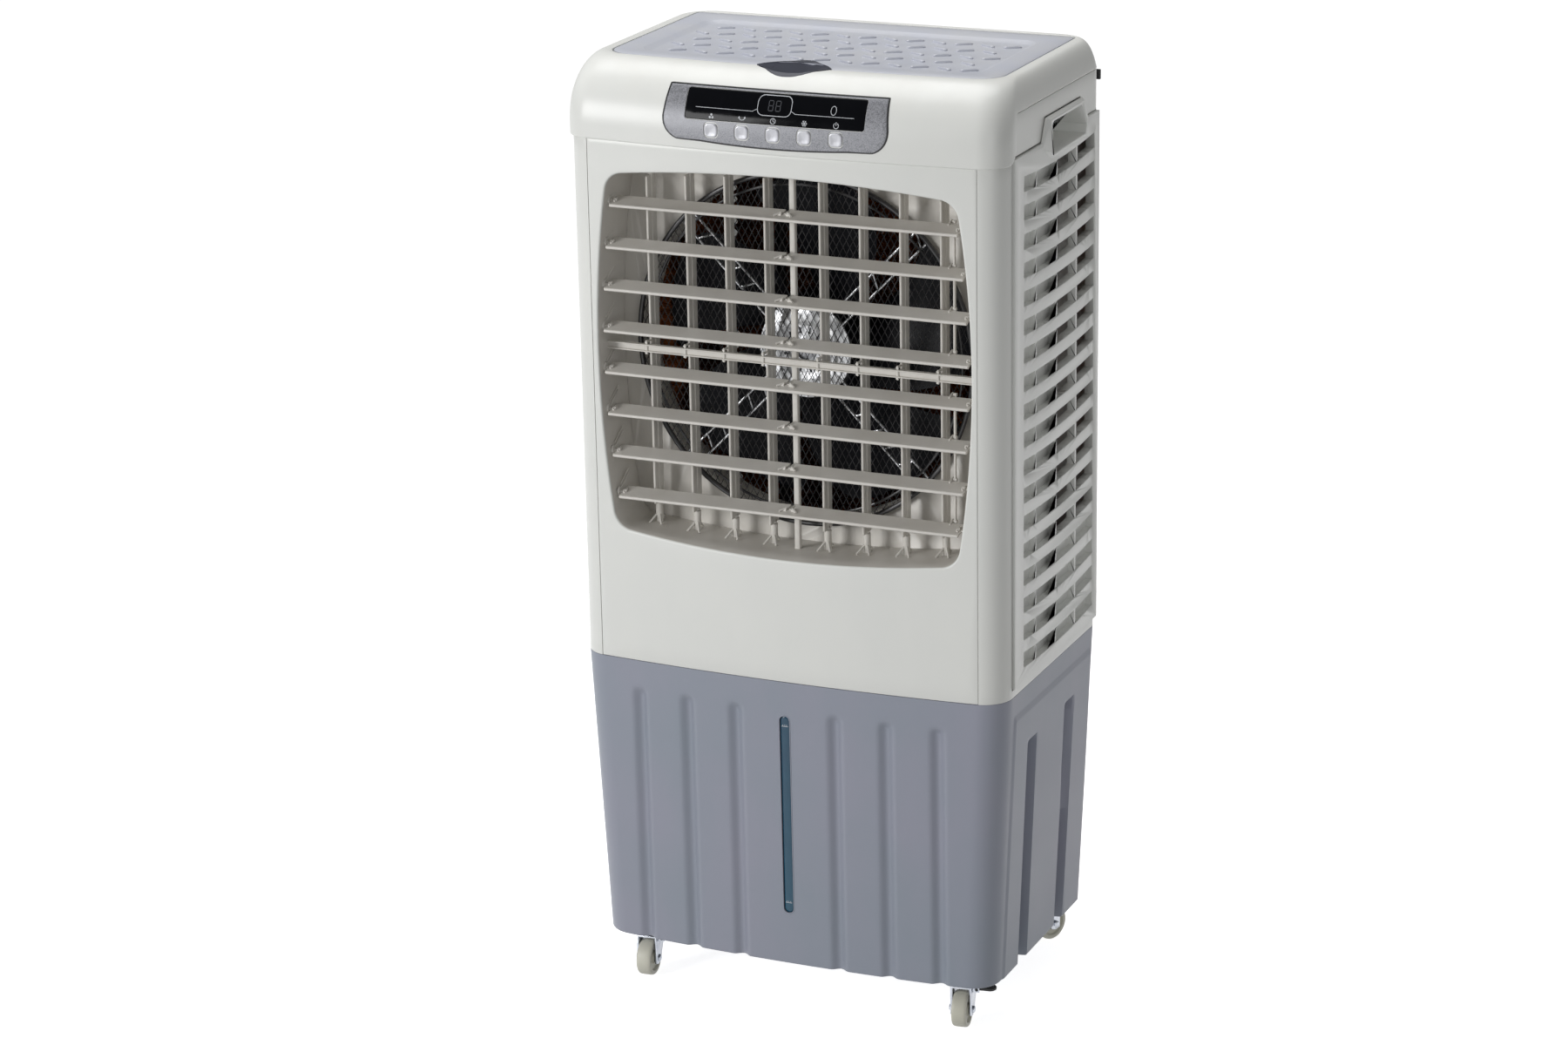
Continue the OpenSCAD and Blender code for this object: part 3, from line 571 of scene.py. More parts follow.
# Each edge colour below is rubbing wear, and where it is lighter than the plastic it is also a painted edge
# highlight.
def white_moulding():
    return moulded("cabinet_white", ink(228, 229, 225), ink(220, 222, 219), 0.34, wear_and_highlight_colour=ink(240, 241, 238),
                   dusty=ink(206, 203, 196), Specular_IOR_Level=0.45, Coat_Weight=0.12, Coat_Roughness=0.25)


# A darker copy of the cabinet white: painted shade for the duct's inner faces, louvres, vanes, tie bar, links
# and fan wall.
def duct_shade_moulding():
    return moulded("outlet_painted_shade_white", ink(214, 211, 205), ink(201, 197, 190), 0.36, wear_and_highlight_colour=ink(242, 241, 235),
                   dusty=ink(174, 168, 157), Specular_IOR_Level=0.45)


def tank_moulding():
    return moulded("tank_slate", ink(148, 150, 164), ink(138, 147, 158), 0.44, grain=1.6 * MM,
                   depth=0.09 * MM, wear_and_highlight_colour=ink(150, 152, 164), dusty=ink(140, 140, 142), amount=0.8,
                   Specular_IOR_Level=0.42)


def lid_moulding():
    return moulded("lid_mist", ink(189, 192, 202), ink(181, 185, 196), 0.36, wear_and_highlight_colour=ink(214, 216, 222),
                   dusty=ink(196, 194, 188), Specular_IOR_Level=0.45)


def black_moulding():
    return moulded("trim_black", ink(26, 27, 29), ink(34, 34, 36), 0.42, wear_and_highlight_colour=ink(70, 70, 72),
                   dusty=ink(96, 93, 88), Specular_IOR_Level=0.4)


def rotor_moulding():
    return moulded("rotor_smoke", ink(14, 15, 20), ink(11, 12, 15), 0.4, wear_and_highlight_colour=ink(24, 25, 30),
                   dusty=ink(22, 21, 21), Specular_IOR_Level=0.12)


def nylon():
    return moulded("wheel_nylon", ink(214, 213, 200), ink(198, 196, 180), 0.45, grain=0.8 * MM,
                   wear_and_highlight_colour=ink(168, 164, 150), dusty=ink(150, 146, 136), amount=0.8, Subsurface_Weight=0.0)


def metal(name, colour, drift, roughness, lines=0.12, across=700.0, **constants):
    """Bare or plated metal with drawn lines and a mottled tone."""
    mat, tree, principled = shader(name, Metallic=1.0, **constants)
    tone = use(tree, TONE, Colour=colour, Drift=drift, Amount=0.8, Reach=0.012)["Colour"]
    drawn = use(tree, DRAWN, Across=across)["Lines"]
    tree.links.new(tone, principled.inputs["Base Color"])
    tree.links.new(math_node(tree, "ADD", math_node(tree, "MULTIPLY", drawn, lines), roughness),
                   principled.inputs["Roughness"])
    bump(tree, principled, drawn, 0.02 * MM, 0.4)
    return mat


def zinc():
    return metal("zinc_plate", ink(196, 199, 206), ink(168, 174, 184), 0.22)


def bright_wire():
    return metal("bright_wire", ink(206, 207, 208), ink(178, 180, 184), 0.26)


def black_wire():
    return moulded("guard_black", ink(38, 38, 40), ink(52, 52, 54), 0.32, wear_and_highlight_colour=ink(120, 120, 122),
                   dusty=ink(110, 104, 96), Specular_IOR_Level=0.6)


def aluminium():
    return metal("cast_aluminium", ink(176, 177, 180), ink(150, 152, 156), 0.36, lines=0.2)


def silver_paint():
    """Silver lacquer with fine flakes."""
    mat, tree, principled = shader("panel_silver", Metallic=0.35, Coat_Weight=0.1, Coat_Roughness=0.25)
    at = tree.nodes.new("ShaderNodeTexCoord").outputs["Object"]
    flake = node(tree, "ShaderNodeTexVoronoi", Vector=at, Scale=1100.0)
    spark = node(tree, "ShaderNodeSeparateColor", Color=flake.outputs["Color"]).outputs[0]
    colour = mix_colour(tree, spark, ink(112, 113, 118), ink(150, 151, 156))
    dark = mix_colour(tree, ramp(tree, spark, 0.0, 0.16), ink(100, 101, 107), colour)
    tree.links.new(dark, principled.inputs["Base Color"])
    tree.links.new(ramp(tree, spark, -1.2, 2.2), principled.inputs["Roughness"])
    bump(tree, principled, flake.outputs["Distance"], 0.04 * MM, 0.35)
    return mat


def gloss_black():
    """Smoked acrylic over a black mask, wiped but not spotless."""
    mat, tree, principled = shader("panel_gloss", Specular_IOR_Level=0.1)
    at = tree.nodes.new("ShaderNodeTexCoord").outputs["Object"]
    wiped = node(tree, "ShaderNodeTexNoise", Vector=at, Scale=60.0, Detail=4.0, Distortion=1.4).outputs["Fac"]
    tree.links.new(mix_colour(tree, wiped, ink(6, 7, 10), ink(12, 13, 17)), principled.inputs["Base Color"])
    tree.links.new(ramp(tree, wiped, -0.4, 8.0), principled.inputs["Roughness"])
    return mat


def print_white():
    """Silk-screened marks on the display."""
    mat, tree, principled = shader("panel_print", Specular_IOR_Level=0.4)
    at = tree.nodes.new("ShaderNodeTexCoord").outputs["Object"]
    grit = node(tree, "ShaderNodeTexNoise", Vector=at, Scale=900.0, Detail=2.0).outputs["Fac"]
    tree.links.new(mix_colour(tree, grit, ink(176, 180, 186), ink(214, 217, 221)),
                   principled.inputs["Base Color"])
    tree.links.new(ramp(tree, grit, -0.6, 1.6), principled.inputs["Roughness"])
    return mat


def print_dim():
    """Unlit segments of the display."""
    mat, tree, principled = shader("display_segments", Coat_Weight=0.6, Coat_Roughness=0.1)
    at = tree.nodes.new("ShaderNodeTexCoord").outputs["Object"]
    grit = node(tree, "ShaderNodeTexNoise", Vector=at, Scale=500.0, Detail=2.0).outputs["Fac"]
    tree.links.new(mix_colour(tree, grit, ink(40, 43, 50), ink(54, 57, 64)), principled.inputs["Base Color"])
    tree.links.new(ramp(tree, grit, -0.6, 1.6), principled.inputs["Roughness"])
    return mat


def gauge_tint():
    """Tinted water gauge: darker towards the top, with a faint lighter haze."""
    mat, tree, principled = shader("gauge_teal", Coat_Weight=0.15, Coat_Roughness=0.1, Specular_IOR_Level=0.3)
    at = tree.nodes.new("ShaderNodeTexCoord").outputs["Object"]
    height = node(tree, "ShaderNodeSeparateXYZ", Vector=at).outputs["Z"]
    low = ramp(tree, height, GAUGE[0].z, GAUGE[1].z)
    haze = node(tree, "ShaderNodeTexNoise", Vector=at, Scale=45.0, Detail=3.0).outputs["Fac"]
    depth = mix_colour(tree, low, ink(24, 76, 100), ink(20, 62, 88))
    tree.links.new(mix_colour(tree, math_node(tree, "MULTIPLY", haze, 0.25), depth, ink(60, 112, 134)),
                   principled.inputs["Base Color"])
    tree.links.new(ramp(tree, haze, -0.3, 5.0), principled.inputs["Roughness"])
    return mat


def navy_gloss():
    mat, tree, principled = shader("pull_navy", Specular_IOR_Level=0.3)
    surface = use(tree, GRAIN, Size=2.5 * MM, Depth=1.0, Roughness=0.3, Spread=0.12)
    tone = use(tree, TONE, Colour=ink(26, 30, 46), Drift=ink(34, 39, 58), Amount=0.8, Reach=0.03)["Colour"]
    # lighter rim of the pull: rubbing wear and a painted edge highlight
    tree.links.new(mix_colour(tree, use(tree, WEAR_AND_HIGHLIGHT, Amount=0.5)["Mask"], tone, ink(96, 100, 116)),
                   principled.inputs["Base Color"])
    tree.links.new(surface["Roughness"], principled.inputs["Roughness"])
    bump(tree, principled, surface["Height"], 0.02 * MM, 0.3)
    return mat


def button_silver():
    mat, tree, principled = shader("button_silver", Metallic=0.3, Coat_Weight=0.3, Coat_Roughness=0.15)
    surface = use(tree, GRAIN, Size=0.5 * MM, Depth=1.0, Roughness=0.3, Spread=0.1)
    tone = use(tree, TONE, Colour=ink(184, 185, 190), Drift=ink(170, 171, 178), Amount=0.7,
               Reach=0.01)["Colour"]
    tree.links.new(tone, principled.inputs["Base Color"])
    tree.links.new(surface["Roughness"], principled.inputs["Roughness"])
    bump(tree, principled, surface["Height"], 0.02 * MM, 0.4)
    return mat


def cellulose():
    """Resin-stiffened paper of the cooling pads, darker where it stays wet."""
    mat, tree, principled = shader("pad_paper", Specular_IOR_Level=0.25)
    at = tree.nodes.new("ShaderNodeTexCoord").outputs["Object"]
    fibre = node(tree, "ShaderNodeTexNoise", Vector=at, Scale=420.0, Detail=5.0, Roughness=0.7).outputs["Fac"]
    stain = node(tree, "ShaderNodeTexNoise", Vector=at, Scale=11.0, Detail=4.0, Distortion=0.8).outputs["Fac"]
    dry = mix_colour(tree, fibre, ink(150, 84, 42), ink(186, 112, 60))
    wet = mix_colour(tree, fibre, ink(72, 40, 30), ink(98, 54, 38))
    tree.links.new(mix_colour(tree, ramp(tree, stain, 0.36, 0.6), wet, dry), principled.inputs["Base Color"])
    tree.links.new(ramp(tree, stain, -0.4, 0.7), principled.inputs["Roughness"])
    bump(tree, principled, fibre, 0.15 * MM, 0.8)
    return mat


def studio_floor():
    mat, tree, principled = shader("studio_paper", Roughness=0.9, Specular_IOR_Level=0.1,
                                   Emission_Color=(1, 1, 1, 1), Emission_Strength=0.8)
    at = tree.nodes.new("ShaderNodeTexCoord").outputs["Object"]
    cloud = node(tree, "ShaderNodeTexNoise", Vector=at, Scale=0.6, Detail=2.0).outputs["Fac"]
    tree.links.new(mix_colour(tree, cloud, ink(240, 240, 240), ink(246, 246, 246)),
                   principled.inputs["Base Color"])
    return mat


WHITE, DUCT_SHADED_WHITE, SLATE, MIST = white_moulding(), duct_shade_moulding(), tank_moulding(), lid_moulding()
BLACK, SMOKE, NYLON = black_moulding(), rotor_moulding(), nylon()
ZINC, WIRE, GUARD, ALUMINIUM = zinc(), bright_wire(), black_wire(), aluminium()
SILVER, GLOSS, PRINT, DIM = silver_paint(), gloss_black(), print_white(), print_dim()
TEAL, NAVY, BUTTON, PAPER = gauge_tint(), navy_gloss(), button_silver(), cellulose()

# ---- geometry-node trees ------------------------------------------------------------


def geometry_tree(name, inputs):
    """A Geometry Nodes tree with its own named inputs after the geometry."""
    tree = bpy.data.node_groups.new(name, "GeometryNodeTree")
    tree.interface.new_socket("Geometry", in_out="INPUT", socket_type="NodeSocketGeometry")
    tree.interface.new_socket("Geometry", in_out="OUTPUT", socket_type="NodeSocketGeometry")
    kinds = {float: "NodeSocketFloat", int: "NodeSocketInt", tuple: "NodeSocketVector"}
    for label, value in inputs.items():
        if value in ("object", "material"):
            kind = "NodeSocketObject" if value == "object" else "NodeSocketMaterial"
            tree.interface.new_socket(label, in_out="INPUT", socket_type=kind)
        else:
            socket = tree.interface.new_socket(label, in_out="INPUT", socket_type=kinds[type(value)])
            socket.default_value = value
    return tree, tree.nodes.new("NodeGroupInput"), tree.nodes.new("NodeGroupOutput")


def finish_tree(tree, given, out, geometry):
    """Every tree ends alike: real meshes, one material."""
    real = node(tree, "GeometryNodeRealizeInstances", Geometry=geometry).outputs[0]
    coloured = node(tree, "GeometryNodeSetMaterial", Geometry=real, Material=given.outputs["Material"])
    tree.links.new(coloured.outputs[0], out.inputs["Geometry"])
    return tree


def wire_tree():
    """Turns loose edges into round wire."""
    tree, given, out = geometry_tree("round_wire", {"Radius": 0.5 * MM, "Sides": 5, "Material": "material"})
    curve = node(tree, "GeometryNodeMeshToCurve", Mesh=given.outputs["Geometry"]).outputs[0]
    profile = node(tree, "GeometryNodeCurvePrimitiveCircle", Resolution=given.outputs["Sides"],
                   Radius=given.outputs["Radius"]).outputs[0]
    wire = node(tree, "GeometryNodeCurveToMesh", i0=curve)
    tree.links.new(profile, wire.inputs["Profile Curve"])
    wire.inputs["Fill Caps"].default_value = True
    return finish_tree(tree, given, out, wire.outputs[0])


def pattern_tree():
    """Sets a copy of a source object on every point, turned by the point's own turn attribute."""
    tree, given, out = geometry_tree("set_out", {"Source": "object", "Material": "material"})
    source = node(tree, "GeometryNodeObjectInfo", {"transform_space": "RELATIVE"})
    tree.links.new(given.outputs["Source"], source.inputs["Object"])
    turn = node(tree, "GeometryNodeInputNamedAttribute", {"data_type": "FLOAT_VECTOR"},
                Name="turn").outputs[0]
    rotation = node(tree, "FunctionNodeEulerToRotation", i0=turn).outputs[0]
    points = node(tree, "GeometryNodeMeshToPoints", Mesh=given.outputs["Geometry"]).outputs[0]
    placed = node(tree, "GeometryNodeInstanceOnPoints", Points=points, Instance=source.outputs["Geometry"],
                  Rotation=rotation).outputs[0]
    return finish_tree(tree, given, out, placed)


def pad_tree():
    """Stacks corrugated paper sheets into a pad: flutes of neighbouring sheets slant opposite ways."""
    tree, given, out = geometry_tree("fluted_pad", {
        "Thickness": 30 * MM, "Height": 0.62, "Sheets": 20, "Pitch": 7 * MM, "Wave": 14 * MM, "Slant": 0.55,
        "Paper": 0.45 * MM, "Material": "material"})
    rows = math_node(tree, "DIVIDE", given.outputs["Height"],
                     math_node(tree, "DIVIDE", given.outputs["Wave"], 6.0))
    sheet = node(tree, "GeometryNodeMeshGrid", Size_X=given.outputs["Thickness"],
                 Size_Y=given.outputs["Height"], Vertices_X=3, Vertices_Y=rows).outputs[0]
    offset = node(tree, "ShaderNodeCombineXYZ", Z=given.outputs["Pitch"]).outputs[0]
    line = node(tree, "GeometryNodeMeshLine", Count=given.outputs["Sheets"], Offset=offset).outputs[0]
    stack = node(tree, "GeometryNodeInstanceOnPoints", Points=line, Instance=sheet)
    index = tree.nodes.new("GeometryNodeInputIndex").outputs[0]
    stored = node(tree, "GeometryNodeStoreNamedAttribute", {"data_type": "FLOAT", "domain": "INSTANCE"},
                  Geometry=stack.outputs[0], Name="sheet", Value=index).outputs[0]
    real = node(tree, "GeometryNodeRealizeInstances", Geometry=stored).outputs[0]
    number = node(tree, "GeometryNodeInputNamedAttribute", {"data_type": "FLOAT"}, Name="sheet").outputs[0]
    odd = math_node(tree, "MODULO", number, 2.0)
    sign = math_node(tree, "SUBTRACT", math_node(tree, "MULTIPLY", odd, 2.0), 1.0)
    place = tree.nodes.new("GeometryNodeInputPosition").outputs[0]
    parts = node(tree, "ShaderNodeSeparateXYZ", Vector=place).outputs
    slanted = math_node(tree, "MULTIPLY", math_node(tree, "MULTIPLY", parts["X"], sign),
                        given.outputs["Slant"])
    phase = math_node(tree, "DIVIDE", math_node(tree, "ADD", parts["Y"], slanted), given.outputs["Wave"])
    swing = math_node(tree, "SINE", math_node(tree, "MULTIPLY", phase, 2 * math.pi))
    reach = math_node(tree, "MULTIPLY", swing, math_node(tree, "MULTIPLY", given.outputs["Pitch"], 0.46))
    shift = node(tree, "ShaderNodeCombineXYZ", Z=reach).outputs[0]
    moved = node(tree, "GeometryNodeSetPosition", Geometry=real, Offset=shift).outputs[0]
    walls = node(tree, "GeometryNodeExtrudeMesh", Mesh=moved, Offset_Scale=given.outputs["Paper"])
    walls.inputs["Individual"].default_value = False
    back = node(tree, "GeometryNodeFlipFaces", Mesh=moved).outputs[0]
    both = tree.nodes.new("GeometryNodeJoinGeometry")
    tree.links.new(back, both.inputs[0])
    tree.links.new(walls.outputs[0], both.inputs[0])
    return finish_tree(tree, given, out, both.outputs[0])


ROUND_WIRE, SET_OUT, FLUTED_PAD = wire_tree(), pattern_tree(), pad_tree()


def grow(obj, tree, **inputs):
    """Runs a Geometry Nodes tree on an object and keeps the result as its mesh."""
    mod = obj.modifiers.new("grow", "NODES")
    mod.node_group = tree
    names = {item.name: item.identifier for item in tree.interface.items_tree if item.in_out == "INPUT"}
    for label, value in inputs.items():
        mod[names[label]] = value
    return bake(obj)


def wires(name, paths, radius, material, sides=6):
    """Round wires along open or closed paths of points."""
    verts, edges = [], []
    for path, closed in paths:
        first = len(verts)
        verts += [tuple(p) for p in path]
        edges += [(first + i, first + i + 1) for i in range(len(path) - 1)]
        if closed:
            edges.append((first + len(path) - 1, first))
    mesh = bpy.data.meshes.new(name)
    mesh.from_pydata(verts, edges, [])
    obj = link(bpy.data.objects.new(name, mesh))
    grow(obj, ROUND_WIRE, Radius=radius, Sides=sides, Material=material)
    shade(obj)
    return obj


def set_out(name, source, places, material):
    """Copies a source object to (position, turn) places and deletes the source."""
    mesh = bpy.data.meshes.new(name)
    mesh.from_pydata([tuple(p) for p, _ in places], [], [])
    turns = mesh.attributes.new("turn", "FLOAT_VECTOR", "POINT")
    turns.data.foreach_set("vector", [c for _, turn in places for c in turn])
    obj = link(bpy.data.objects.new(name, mesh))
    grow(obj, SET_OUT, Source=source, Material=material)
    bpy.data.objects.remove(source)
    shade(obj)
    return obj


# ---- tank -------------------------------------------------------------------------


FLUTE_PITCH = 63 * MM
FLUTE_TOP = 383.5 * MM
FLUTE_HALF = 11.5 * MM
FLUTE_DEPTH = 6 * MM
CHANNEL_YS = (-64 * MM, 60 * MM)
CHANNEL_HALF = 14 * MM
CHANNEL_DEPTH = 9 * MM
CHANNEL_TOP = 345 * MM
FIELD_TOP = 388 * MM
FIELD_RISE = 1.6 * MM
TANK_WALL = 4 * MM


def tank_taper(z):
    """How far down the taper a height is, 0 at the seam and 1 at the underside."""
    return (SEAM_Z - z) / (SEAM_Z - TANK_Z)


def tank_relief(x, y, z, nx, ny):
    """Depth of the flutes and channels at a point of the tank's wall; the raised side field is negative."""
    if ny < -0.9:
        near = min(abs(abs(x) - FLUTE_PITCH * i) for i in (1, 2, 3))
        across = 0.5 + 0.5 * math.cos(math.pi * min(near / FLUTE_HALF, 1.0))
        return FLUTE_DEPTH * across * smooth((FLUTE_TOP - z) / (9 * MM))
    if abs(nx) > 0.9:
        front, rear = TANK[0].y + 52 * MM, TANK[1].y - 30 * MM
        inside = smooth((y - front) / (4 * MM)) * smooth((rear - y) / (4 * MM))
        field = FIELD_RISE * inside * smooth((FIELD_TOP - z) / (3 * MM))
        slant = (y - CHANNEL_YS[0]) * 0.03
        depth = 0.0
        for at in CHANNEL_YS:
            side = smooth((CHANNEL_HALF + 1.2 * MM - abs(y - at)) / (2.4 * MM))
            depth = max(depth, side * smooth((CHANNEL_TOP + slant - z) / (5 * MM)))
        return CHANNEL_DEPTH * depth - field * (1 - depth)
    return 0.0


def tank_ring(z, inset=0.0, wall=0.0):
    k = tank_taper(z)
    ring = []
    for x, y, nx, ny in plan(inset, half_w=HALF_W - k * TAPER_X, front=FRONT_Y - k * TAPER_Y,
                             back=BACK_Y - k * TAPER_Y):
        deep = tank_relief(x, y, z, nx, ny) + wall
        ring.append(Vector((x - nx * deep, y - ny * deep, z)))
    return ring


def water_tank():
    """Tapered tank with soft front flutes, raised side fields and open side channels."""
    foot = 2.5 * MM
    heights = [TANK_Z + foot + (SEAM_Z - TANK_Z - foot) * (i / 90) for i in range(91)]
    rings = []
    for t in range(0, 91, 15):
        a = math.radians(t)
        rings.append(tank_ring(TANK_Z + foot * (1 - math.cos(a)) * 0.999, foot * (1 - math.sin(a))))
    rings += [tank_ring(z) for z in heights[1:]]
    lip = SEAM_Z + 8.5 * MM
    rings += [ring_at(z, WALL + 1 * MM) for z in (SEAM_Z, lip - 1 * MM)]
    rings.append(ring_at(lip, WALL + 1.8 * MM))
    rings += [ring_at(z, WALL + 4 * MM) for z in (lip, SEAM_Z - 4 * MM)]
    rings += [tank_ring(z, 0.0, TANK_WALL) for z in heights[-3:4:-6]]
    rings.append(tank_ring(TANK_Z + TANK_WALL, foot, TANK_WALL))
    body = loft("tank_body", rings, True, True, sharp=50)
    middle = (GAUGE[0].z + GAUGE[1].z) / 2
    slot = prism("gauge_slot", round_box(13 * MM, GAUGE[1].z - GAUGE[0].z + 0.4 * MM, 6.4 * MM, 0, middle, 8),
                 TANK[0].y - 5 * MM, TANK[0].y + 25 * MM, "Y")
    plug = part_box("drain_plug")
    drain = turned("drain_bore", [(12 * MM, -20 * MM), (12 * MM, 20 * MM)],
                   ((plug[0].x + plug[1].x) / 2, TANK[1].y, (plug[0].z + plug[1].z) / 2), (0, 1, 0), 48)
    cut(body, slot, drain)
    shade(body, 40)
    # rolled frame of the gauge slot
    frame_path = []
    for x, z in round_box(13.6 * MM, GAUGE[1].z - GAUGE[0].z + 1.0 * MM, 6.7 * MM, 0, middle, 8):
        frame_path.append((x, -(FRONT_Y - tank_taper(z) * TAPER_Y) + bow(x) + 0.1 * MM, z))
    frame_ring = tube("gauge_frame", frame_path, 0.7 * MM, 8, True)
    body = join("tank_body", body, frame_ring)
    piece(body, "cabinet", ["water_tank"], SLATE)


def gauge_window():
    """Long tinted window, crowned, with two raised level marks."""
    middle = (GAUGE[0].z + GAUGE[1].z) / 2
    high = GAUGE[1].z - GAUGE[0].z - 0.6 * MM

    def ring(inset, proud):
        pts = round_box(12.2 * MM - 2 * inset, high - 2 * inset, 6 * MM - inset, 0, middle, 10)
        return [Vector((x, -(FRONT_Y - tank_taper(z) * TAPER_Y) + 2.2 * MM - proud, z)) for x, z in pts]

    levels = [(0.0, -2.0), (0.0, 0.0), (0.4, 0.5), (1.2, 0.9), (2.6, 1.2), (4.4, 1.35)]
    body = loft("gauge_pane", [ring(i * MM, p * MM) for i, p in levels], True, True, sharp=60)
    piece(body, "cabinet", ["gauge_window"], TEAL)
    marks = []
    for end in (GAUGE[0].z + 13 * MM, GAUGE[1].z - 13 * MM):
        y = -(FRONT_Y - tank_taper(end) * TAPER_Y) + 0.75 * MM
        marks.append(block("level_mark", (-4 * MM, y, end - 0.35 * MM),
                           (4 * MM, y + 0.5 * MM, end + 0.35 * MM)))
        for x in (-2.4 * MM, 0.0, 2.4 * MM):
            marks.append(block("level_mark", (x - 0.4 * MM, y, end + 0.8 * MM),
                               (x + 0.4 * MM, y + 0.5 * MM, end + 2 * MM)))
    piece(join("gauge_marks", *marks), "cabinet", [], PRINT)


# ---- cabinet ------------------------------------------------------------------------


def hood_edge(y):
    """Height of the hood's lower edge at a station along the side."""
    if y <= -150 * MM:
        return HOOD_Z
    if y <= -130 * MM:
        return HOOD_Z + 20 * MM - math.sqrt(max((20 * MM) ** 2 - (y + 150 * MM) ** 2, 0.0))
    if y <= -124 * MM:
        return HOOD_SIDE_Z - 6 * MM + math.sqrt(max((6 * MM) ** 2 - (y + 124 * MM) ** 2, 0.0))
    return HOOD_SIDE_Z


def shell_strip(name, stations, low, top_of, wall, round_edge=0.8 * MM, levels=40):
    """An upright wall along open plan stations, rounded at top and bottom, with capped ends."""
    rings = []
    for x, y, nx, ny in stations:
        top = top_of(y)
        section = []
        for i in range(levels + 1):
            z = low + round_edge + (top - low - 2 * round_edge) * i / levels
            section.append((0.0, z))
        section += [(round_edge * 0.3, top - round_edge * 0.3), (round_edge, top), (wall, top)]
        section += [(wall, low), (round_edge, low), (round_edge * 0.3, low + round_edge * 0.3)]
        rings.append([Vector((x - nx * d, y - ny * d, z)) for d, z in section])
    return loft(name, rings, True, True)


def grille_outline(grow=0.0):
    """Outline of a side grille with its hand-hold pocket, (y, z)."""
    y0, y1, z0, z1 = GRILLE[0].y, GRILLE[1].y, GRILLE[0].z, 1048 * MM
    top = GRILLE[1].z
    return [(y0 - grow, z0 - grow), (y1 + grow, z0 - grow), (y1 + grow, z1 + grow),
            (100.5 * MM + grow, z1 + grow), (82 * MM + grow, top + grow), (-34 * MM - grow, top + grow),
            (-46.6 * MM - grow, z1 + grow), (y0 - grow, z1 + grow)]


def main_housing():
    """White wrap from one side of the front panel round the back to the other, with its deck."""
    edge = PANEL[1].x + 0.6 * MM
    whole = plan(0.0)
    middle = len(whole) // 2
    right = [s for s in whole[:middle] if s[0] >= edge or s[1] > 0]
    left = [s for s in whole[middle:] if s[0] <= -edge or s[1] > 0]
    first = right[0]
    start = (edge, first[1] - (first[0] - edge) * 0.16, first[2] * 0.4, -1.0)
    length = math.hypot(start[2], start[3])
    start = (start[0], start[1], start[2] / length, start[3] / length)
    stations = [start] + right + left + [(-start[0], start[1], -start[2], start[3])]
    body = shell_strip("housing_body", stations, SEAM_Z, lambda y: hood_edge(y) - 0.4 * MM, WALL)
    cutters = [prism("side_hole", grille_outline(1 * MM), -HALF_W * 1.1, -HALF_W * 0.9, "X"),
               prism("side_hole", grille_outline(1 * MM), HALF_W * 0.9, HALF_W * 1.1, "X"),
               block("rear_hole", (REAR[0].x - 1 * MM, BACK_Y - 9 * MM, REAR[0].z - 1 * MM),
                     (REAR[1].x + 1 * MM, BACK_Y + 9 * MM, REAR[1].z + 1 * MM))]
    cut(body, *cutters)
    shade(body, 40)
    deck_z = SEAM_Z + 12 * MM
    rings = [ring_at(z, WALL - 0.5 * MM) for z in (deck_z, deck_z + WALL)]
    deck = loft("deck", rings, True, True)
    holes = [block("deck_hole", (s * 228 * MM - 18 * MM, -110 * MM, deck_z - 9 * MM),
                   (s * 228 * MM + 18 * MM, 120 * MM, deck_z + 9 * MM)) for s in (-1, 1)]
    holes.append(block("deck_hole", (-150 * MM, 118 * MM, deck_z - 9 * MM),
                       (150 * MM, 152 * MM, deck_z + 9 * MM)))
    cut(deck, *holes)
    body = join("housing_body", body, deck)
    piece(body, "cabinet", ["main_housing"], WHITE)


def resample(outline, count):
    """Evenly spaced points round a closed outline, from its first point."""
    n = len(outline)
    lengths = [math.dist(outline[i], outline[(i + 1) % n]) for i in range(n)]
    total = sum(lengths)
    pts, i, along = [], 0, 0.0
    for k in range(count):
        want = total * k / count
        while along + lengths[i] < want:
            along += lengths[i]
            i += 1
        t = (want - along) / lengths[i]
        a, b = outline[i], outline[(i + 1) % n]
        pts.append((a[0] + (b[0] - a[0]) * t, a[1] + (b[1] - a[1]) * t))
    return pts


def front_face(x):
    """Front of the cabinet at x, through the bow and into the round corner."""
    yc = BOW_R - FRONT_Y
    corner = HALF_W - CORNER_R
    if abs(x) <= corner:
        return yc - math.sqrt(BOW_R ** 2 - x * x)
    cy = yc - math.sqrt((BOW_R - CORNER_R) ** 2 - corner ** 2)
    return cy - math.sqrt(CORNER_R ** 2 - (abs(x) - corner) ** 2)


# Depth behind the front at which the painted duct shade begins.
DUCT_SHADE_START = 3.5 * MM


